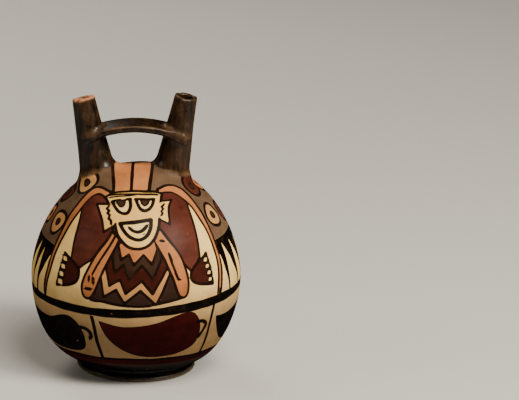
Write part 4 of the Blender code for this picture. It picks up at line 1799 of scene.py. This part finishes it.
        # warm vertical streaks, partly the burnish's own tone and partly painted sheen
        streaks_and_sheen = (g.broad * 0.8 + g.mottle * 0.3 + g.drawn * 0.95).rise(0.9, 1.28)
        colour = g.blend(streaks_and_sheen, self.clay, self.clay_warm_and_sheen)
        worn = (g.marks[Mark.WORN] * 1.5 + g.patchy * 0.8 + g.gritty * 0.5).line(1.0, -0.16)
        joint = (g.marks[Mark.JOINT] * (g.mottle * 2.6 - 0.5) + g.gritty * 0.6).line(1.0, -0.16)
        colour = g.blend(worn.most(joint * 0.8) * 0.7, colour, self.clay_worn)
        rim = self.bare_rim(g.marks[Mark.RIM] + g.patchy * 3.2 + g.gritty * 1.2)
        colour = g.blend(rim, colour, self.terracotta)
        rough = self.clay_rough + streaks_and_sheen * 0.06 + joint * 0.3 + rim * 0.4 + g.patchy * 0.12
        return colour, rough


@dataclass(frozen=True)
class Floor:
    """The plain pale floor."""

    colour: Colour = (0.50, 0.49, 0.47, 1.0)
    rough: float = 0.75

    def material(self) -> bpy.types.Material:
        """Return the matt floor material."""
        return Graph("floor_matt").finish(Base_Color=self.colour, Roughness=self.rough)


# ------------------------------ the piece

@dataclass
class Bottle:
    """The visual bottle: the mesh, its painted fields and its finish (mm)."""

    vessel: Vessel = field(default_factory=Vessel)
    hidden_depth: float = 2.2
    hidden_below: float = 172.0
    hidden_thinning: float = 0.94
    painted_depth: float = 1.2
    joint_width: float = 1.3
    joint_below: float = 149.0
    rim_width: float = 14.0
    right_rim_kept: float = 4.6     # how much further up the right rim keeps its slip
    right_rim_depth: float = 4.0
    strap_wear: float = 0.44
    item: bpy.types.Object = field(init=False)

    def __post_init__(self) -> None:
        """Make the mesh, thin its hidden side, paint it and give it its finish."""
        self.make_object()
        self.thin_the_inside()
        self.paint()
        self.item.data.materials.append(PaintedClay().material())
        triangles = sum(len(f.vertices) - 2 for f in self.item.data.polygons)
        LOG.info("%s: %d triangles", self.item.name, triangles)

    def make_object(self) -> None:
        """Add the object that holds the vessel's net, in metres."""
        net = Net(self.vessel)
        mesh = bpy.data.meshes.new(PIECE)
        mesh.from_pydata(net.points * MILLIMETRE, [], net.quads)
        mesh.shade_smooth()
        self.item = bpy.data.objects.new(PIECE, mesh)
        bpy.context.scene.collection.objects.link(self.item)

    def points(self) -> Array:
        """Read the mesh's points.

        Returns:
            Array (n, 3) in mm.
        """
        mesh = self.item.data
        spots = np.empty(len(mesh.vertices) * 3, np.float32)
        mesh.vertices.foreach_get("co", spots)
        return spots.reshape(-1, 3).astype(float) / MILLIMETRE

    def thin_the_inside(self) -> None:
        """Use fewer faces on the hollow's wall, which hardly shows."""
        spots = self.points()
        depth = self.vessel.outer_distance(spots)
        hidden = (depth < -self.hidden_depth) & (spots[:, 2] < self.hidden_below)
        group = self.item.vertex_groups.new(name="hidden")
        group.add(np.flatnonzero(hidden).tolist(), 1.0, "REPLACE")
        step = self.item.modifiers.new("thin", "DECIMATE")
        step.vertex_group = group.name
        step.vertex_group_factor = 1000.0
        step.ratio = 1.0 - self.hidden_thinning * float(hidden.mean())
        graph = bpy.context.evaluated_depsgraph_get()
        thinned = bpy.data.meshes.new_from_object(self.item.evaluated_get(graph))
        self.item.modifiers.clear()
        self.item.vertex_groups.clear()
        old = self.item.data
        self.item.data = thinned
        bpy.data.meshes.remove(old)
        thinned.name = PIECE
        thinned.shade_smooth()

    def paint(self) -> None:
        """Store the painting and the signs of wear on the vertices, three rows at a time."""
        spots = self.points()
        depth = self.vessel.outer_distance(spots)
        turn, arc, reach = self.vessel.body.place(spots)
        outside = np.flatnonzero(depth > -self.painted_depth)
        canvas = Canvas(turn[outside], arc[outside], reach[outside], self.vessel.body)
        Picture(canvas)
        fields = np.full((FIELD_COUNT * 3, len(spots)), FAR)
        fields[:len(Tone), outside] = canvas.tones
        fields[Mark.INK.row] = 0.0
        fields[Mark.INK.row, outside] = canvas.ink
        for index, (side, guard) in enumerate(canvas.strokes):
            fields[STROKE_ROW + 2 * index, outside] = side
            fields[STROKE_ROW + 1 + 2 * index, outside] = guard
        fields[Mark.INSIDE.row] = np.clip((-depth - 1.0) / 1.5, 0.0, 1.0) * (spots[:, 2] < 190.0)
        # how far down the wall: the finish darkens the lower wall by this as painted shade, and glosses the
        # foot
        fields[Mark.LOW.row] = np.clip((18.0 - arc) / 75.0, 0.0, 1.0)
        self.mark_handle(spots, fields)
        for index in range(FIELD_COUNT):
            layer = self.item.data.attributes.new(f"paint_{index}", "FLOAT_VECTOR", "POINT")
            packed = fields[3 * index:3 * index + 3].T.astype(np.float32)
            layer.data.foreach_set("vector", packed.ravel())

    def mark_handle(self, spots: Array, fields: Array) -> None:
        """Store where the spouts and strap are bare, burnished, rubbed or chipped.

        Args:
            spots: The mesh's points.
            fields: The rows to fill in.
        """
        vessel = self.vessel
        height = spots[:, 2]
        tubes = vessel.tubes(spots)
        strap = vessel.bridge.distance(spots)
        handle = np.minimum(tubes, strap)
        fields[Mark.CLAY.row] = np.clip(handle - 1.6, -FAR, FAR)
        foot = np.clip((self.joint_below - height) / 8.0, 0.0, 1.0)
        fields[Mark.JOINT.row] = np.clip((handle + 0.55 * foot) / self.joint_width, 0.0, 1.0) * (foot > 0.0)
        left_radius, left_height, _ = vessel.left.local(spots)
        right_radius, right_height, _ = vessel.right.local(spots)
        left = np.where(left_radius < self.rim_width, -left_height, FAR)
        right = np.where(right_radius < self.rim_width, -right_height, FAR) + self.right_rim_kept
        fields[Mark.RIM.row] = np.clip(np.minimum(left, right), -FAR, FAR)
        worn = self.bulge(spots) * np.where(strap < 0.6, self.strap_edge(spots), 1.0)
        worn[(right_radius < self.rim_width) & (right_height > -self.right_rim_depth)] *= 0.4
        joint = np.clip(1.2 - (np.maximum(tubes, 0.0) + np.maximum(strap, 0.0)) / 4.0, 0.0, 1.0)
        upper = np.clip(0.5 + (vessel.bridge.above(spots) + 2.6) / 2.0, 0.0, 1.0)
        fields[Mark.WORN.row] = np.maximum(worn, self.strap_wear * joint * upper * (height > 150.0))

    def strap_edge(self, spots: Array) -> Array:
        """Return where the strap's upper edges are, by the distance to their lines.

        Args:
            spots: The mesh's points.

        Returns:
            1 along the edges and 0 away from them.
        """
        strap = self.vessel.bridge
        edge = np.hypot(strap.above(spots) + 0.3, np.abs(spots[:, 1]) - 0.5 * strap.width + 0.4)
        return np.clip(1.9 - edge / 0.9, 0.0, 1.0)

    def bulge(self, spots: Array) -> Array:
        """Return how far each vertex stands out from its neighbours: sharp places, worn on the clay and given
        a painted highlight on the foot's lip.

        It is the gap to the neighbours' mean, measured along the normal and evened out twice.

        Args:
            spots: The mesh's points.

        Returns:
            0 on flat or hollow places and up to 1 on sharp edges.
        """
        mesh = self.item.data
        ends = np.empty(len(mesh.edges) * 2, np.int32)
        mesh.edges.foreach_get("vertices", ends)
        ends = ends.reshape(-1, 2)
        normals = np.empty(len(spots) * 3, np.float32)
        mesh.vertices.foreach_get("normal", normals)
        value = ((spots - self.neighbours_mean(spots, ends)) * normals.reshape(-1, 3)).sum(1)
        for _ in range(2):
            value = 0.5 * value + 0.5 * self.neighbours_mean(value[:, None], ends)[:, 0]
        return np.clip(value * 4.0, 0.0, 1.0)

    @staticmethod
    def neighbours_mean(values: Array, ends: Array) -> Array:
        """Return the mean of each vertex's neighbours.

        Args:
            values: Array (n, m) of what the vertices hold.
            ends: Array (e, 2) of each edge's two vertices.

        Returns:
            Array (n, m).
        """
        total = np.zeros(values.shape)
        hits = np.zeros(len(values))
        for a, b in ((0, 1), (1, 0)):
            for column in range(values.shape[1]):
                total[:, column] += np.bincount(ends[:, b], values[ends[:, a], column], len(values))
            hits += np.bincount(ends[:, b], minlength=len(values))
        return total / np.maximum(hits, 1.0)[:, None]


# ------------------------------ the stage

@dataclass(frozen=True)
class Softbox:
    """One soft studio light: where it stands, what it faces, its size and power."""

    name: str
    place: Point
    size: float
    power: float
    colour: Point = (1.0, 0.92, 0.80)
    aim: Point = (0.0, 0.0, 0.09)

    def make(self) -> None:
        """Add the light to the scene."""
        lamp = bpy.data.lights.new(self.name, "AREA")
        lamp.size = self.size
        lamp.energy = self.power
        lamp.color = self.colour
        item = bpy.data.objects.new(self.name, lamp)
        item.location = self.place
        item.rotation_euler = (Vector(self.aim) - Vector(self.place)).to_track_quat("-Z", "Y").to_euler()
        bpy.context.scene.collection.objects.link(item)


@dataclass
class Studio:
    """The floor, the lights and a camera that looks down at the bottle (m and degrees)."""

    floor_half: float = 6.0
    world_glow: float = 0.035
    world_colour: Colour = (1.0, 0.98, 0.95, 1.0)
    middle: Point = (0.0, 0.0, 0.085)   # of the bottle
    distance: float = 2.2               # from there to the camera
    elevation: float = 16.95
    roll: float = 1.4                   # how far the bottle leans clockwise in the frame
    focal: float = 3077.0               # the focal length, in 519ths of the frame's width
    aside: Point = (123.0, 50.3)        # from the bottle's middle right and up to the frame's, in the same

    LIGHTS = (
        Softbox("key", (1.25, -0.8, 1.25), 0.6, 48.0),
        Softbox("front", (0.5, -0.95, 1.75), 0.9, 38.0),
        Softbox("kicker", (-1.3, -0.35, 0.95), 0.5, 4.0),
        Softbox("back", (-0.6, 1.3, 1.0), 0.8, 12.0),
    )

    def __post_init__(self) -> None:
        """Set up the whole stage."""
        self.floor()
        for light in self.LIGHTS:
            light.make()
        world = bpy.data.worlds.new("studio")
        world.use_nodes = True
        world.node_tree.nodes["Background"].inputs["Color"].default_value = self.world_colour
        world.node_tree.nodes["Background"].inputs["Strength"].default_value = self.world_glow
        bpy.context.scene.world = world
        self.camera()

    def floor(self) -> None:
        """Add a wide floor at the level the bottle stands on."""
        half = self.floor_half
        mesh = bpy.data.meshes.new("floor")
        corners = [(-half, -half, 0.0), (half, -half, 0.0), (half, half, 0.0), (-half, half, 0.0)]
        mesh.from_pydata(corners, [], [(0, 1, 2, 3)])
        mesh.materials.append(Floor().material())
        floor = bpy.data.objects.new("floor", mesh)
        bpy.context.scene.collection.objects.link(floor)

    def camera(self) -> None:
        """Add the camera, turned aside from the bottle and leaning with it."""
        middle = Vector(self.middle)
        up = math.radians(self.elevation)
        place = middle + self.distance * Vector((0.0, -math.cos(up), math.sin(up)))
        ahead = (middle - place).normalized()
        right = ahead.cross(Vector((0.0, 0.0, 1.0))).normalized()
        above = right.cross(ahead)
        turn = math.radians(self.roll)
        right, above = (right * math.cos(turn) + above * math.sin(turn),
                        above * math.cos(turn) - right * math.sin(turn))
        across, over = (shift / self.focal for shift in self.aside)
        ahead = (ahead + right * across + above * over).normalized()
        right = (right - ahead * right.dot(ahead)).normalized()
        above = right.cross(ahead)
        data = bpy.data.cameras.new("camera")
        data.sensor_fit = "HORIZONTAL"
        data.sensor_width = 36.0
        data.lens = data.sensor_width * self.focal / 519.0
        camera = bpy.data.objects.new("camera", data)
        rotation = Matrix((right, above, -ahead)).transposed()
        camera.matrix_world = Matrix.Translation(place) @ rotation.to_4x4()
        bpy.context.scene.collection.objects.link(camera)
        bpy.context.scene.camera = camera


def main() -> None:
    """Load the frame, build the bottle round it, and set the stage."""
    logging.basicConfig(level=logging.INFO, format="%(name)s: %(message)s")
    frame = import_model()
    LOG.info("nodes: %s", sorted(frame["nodes"]))
    bottle = Bottle()
    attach(bottle.item, "root")
    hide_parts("bottle")
    Studio()


if __name__ == "__main__":
    main()
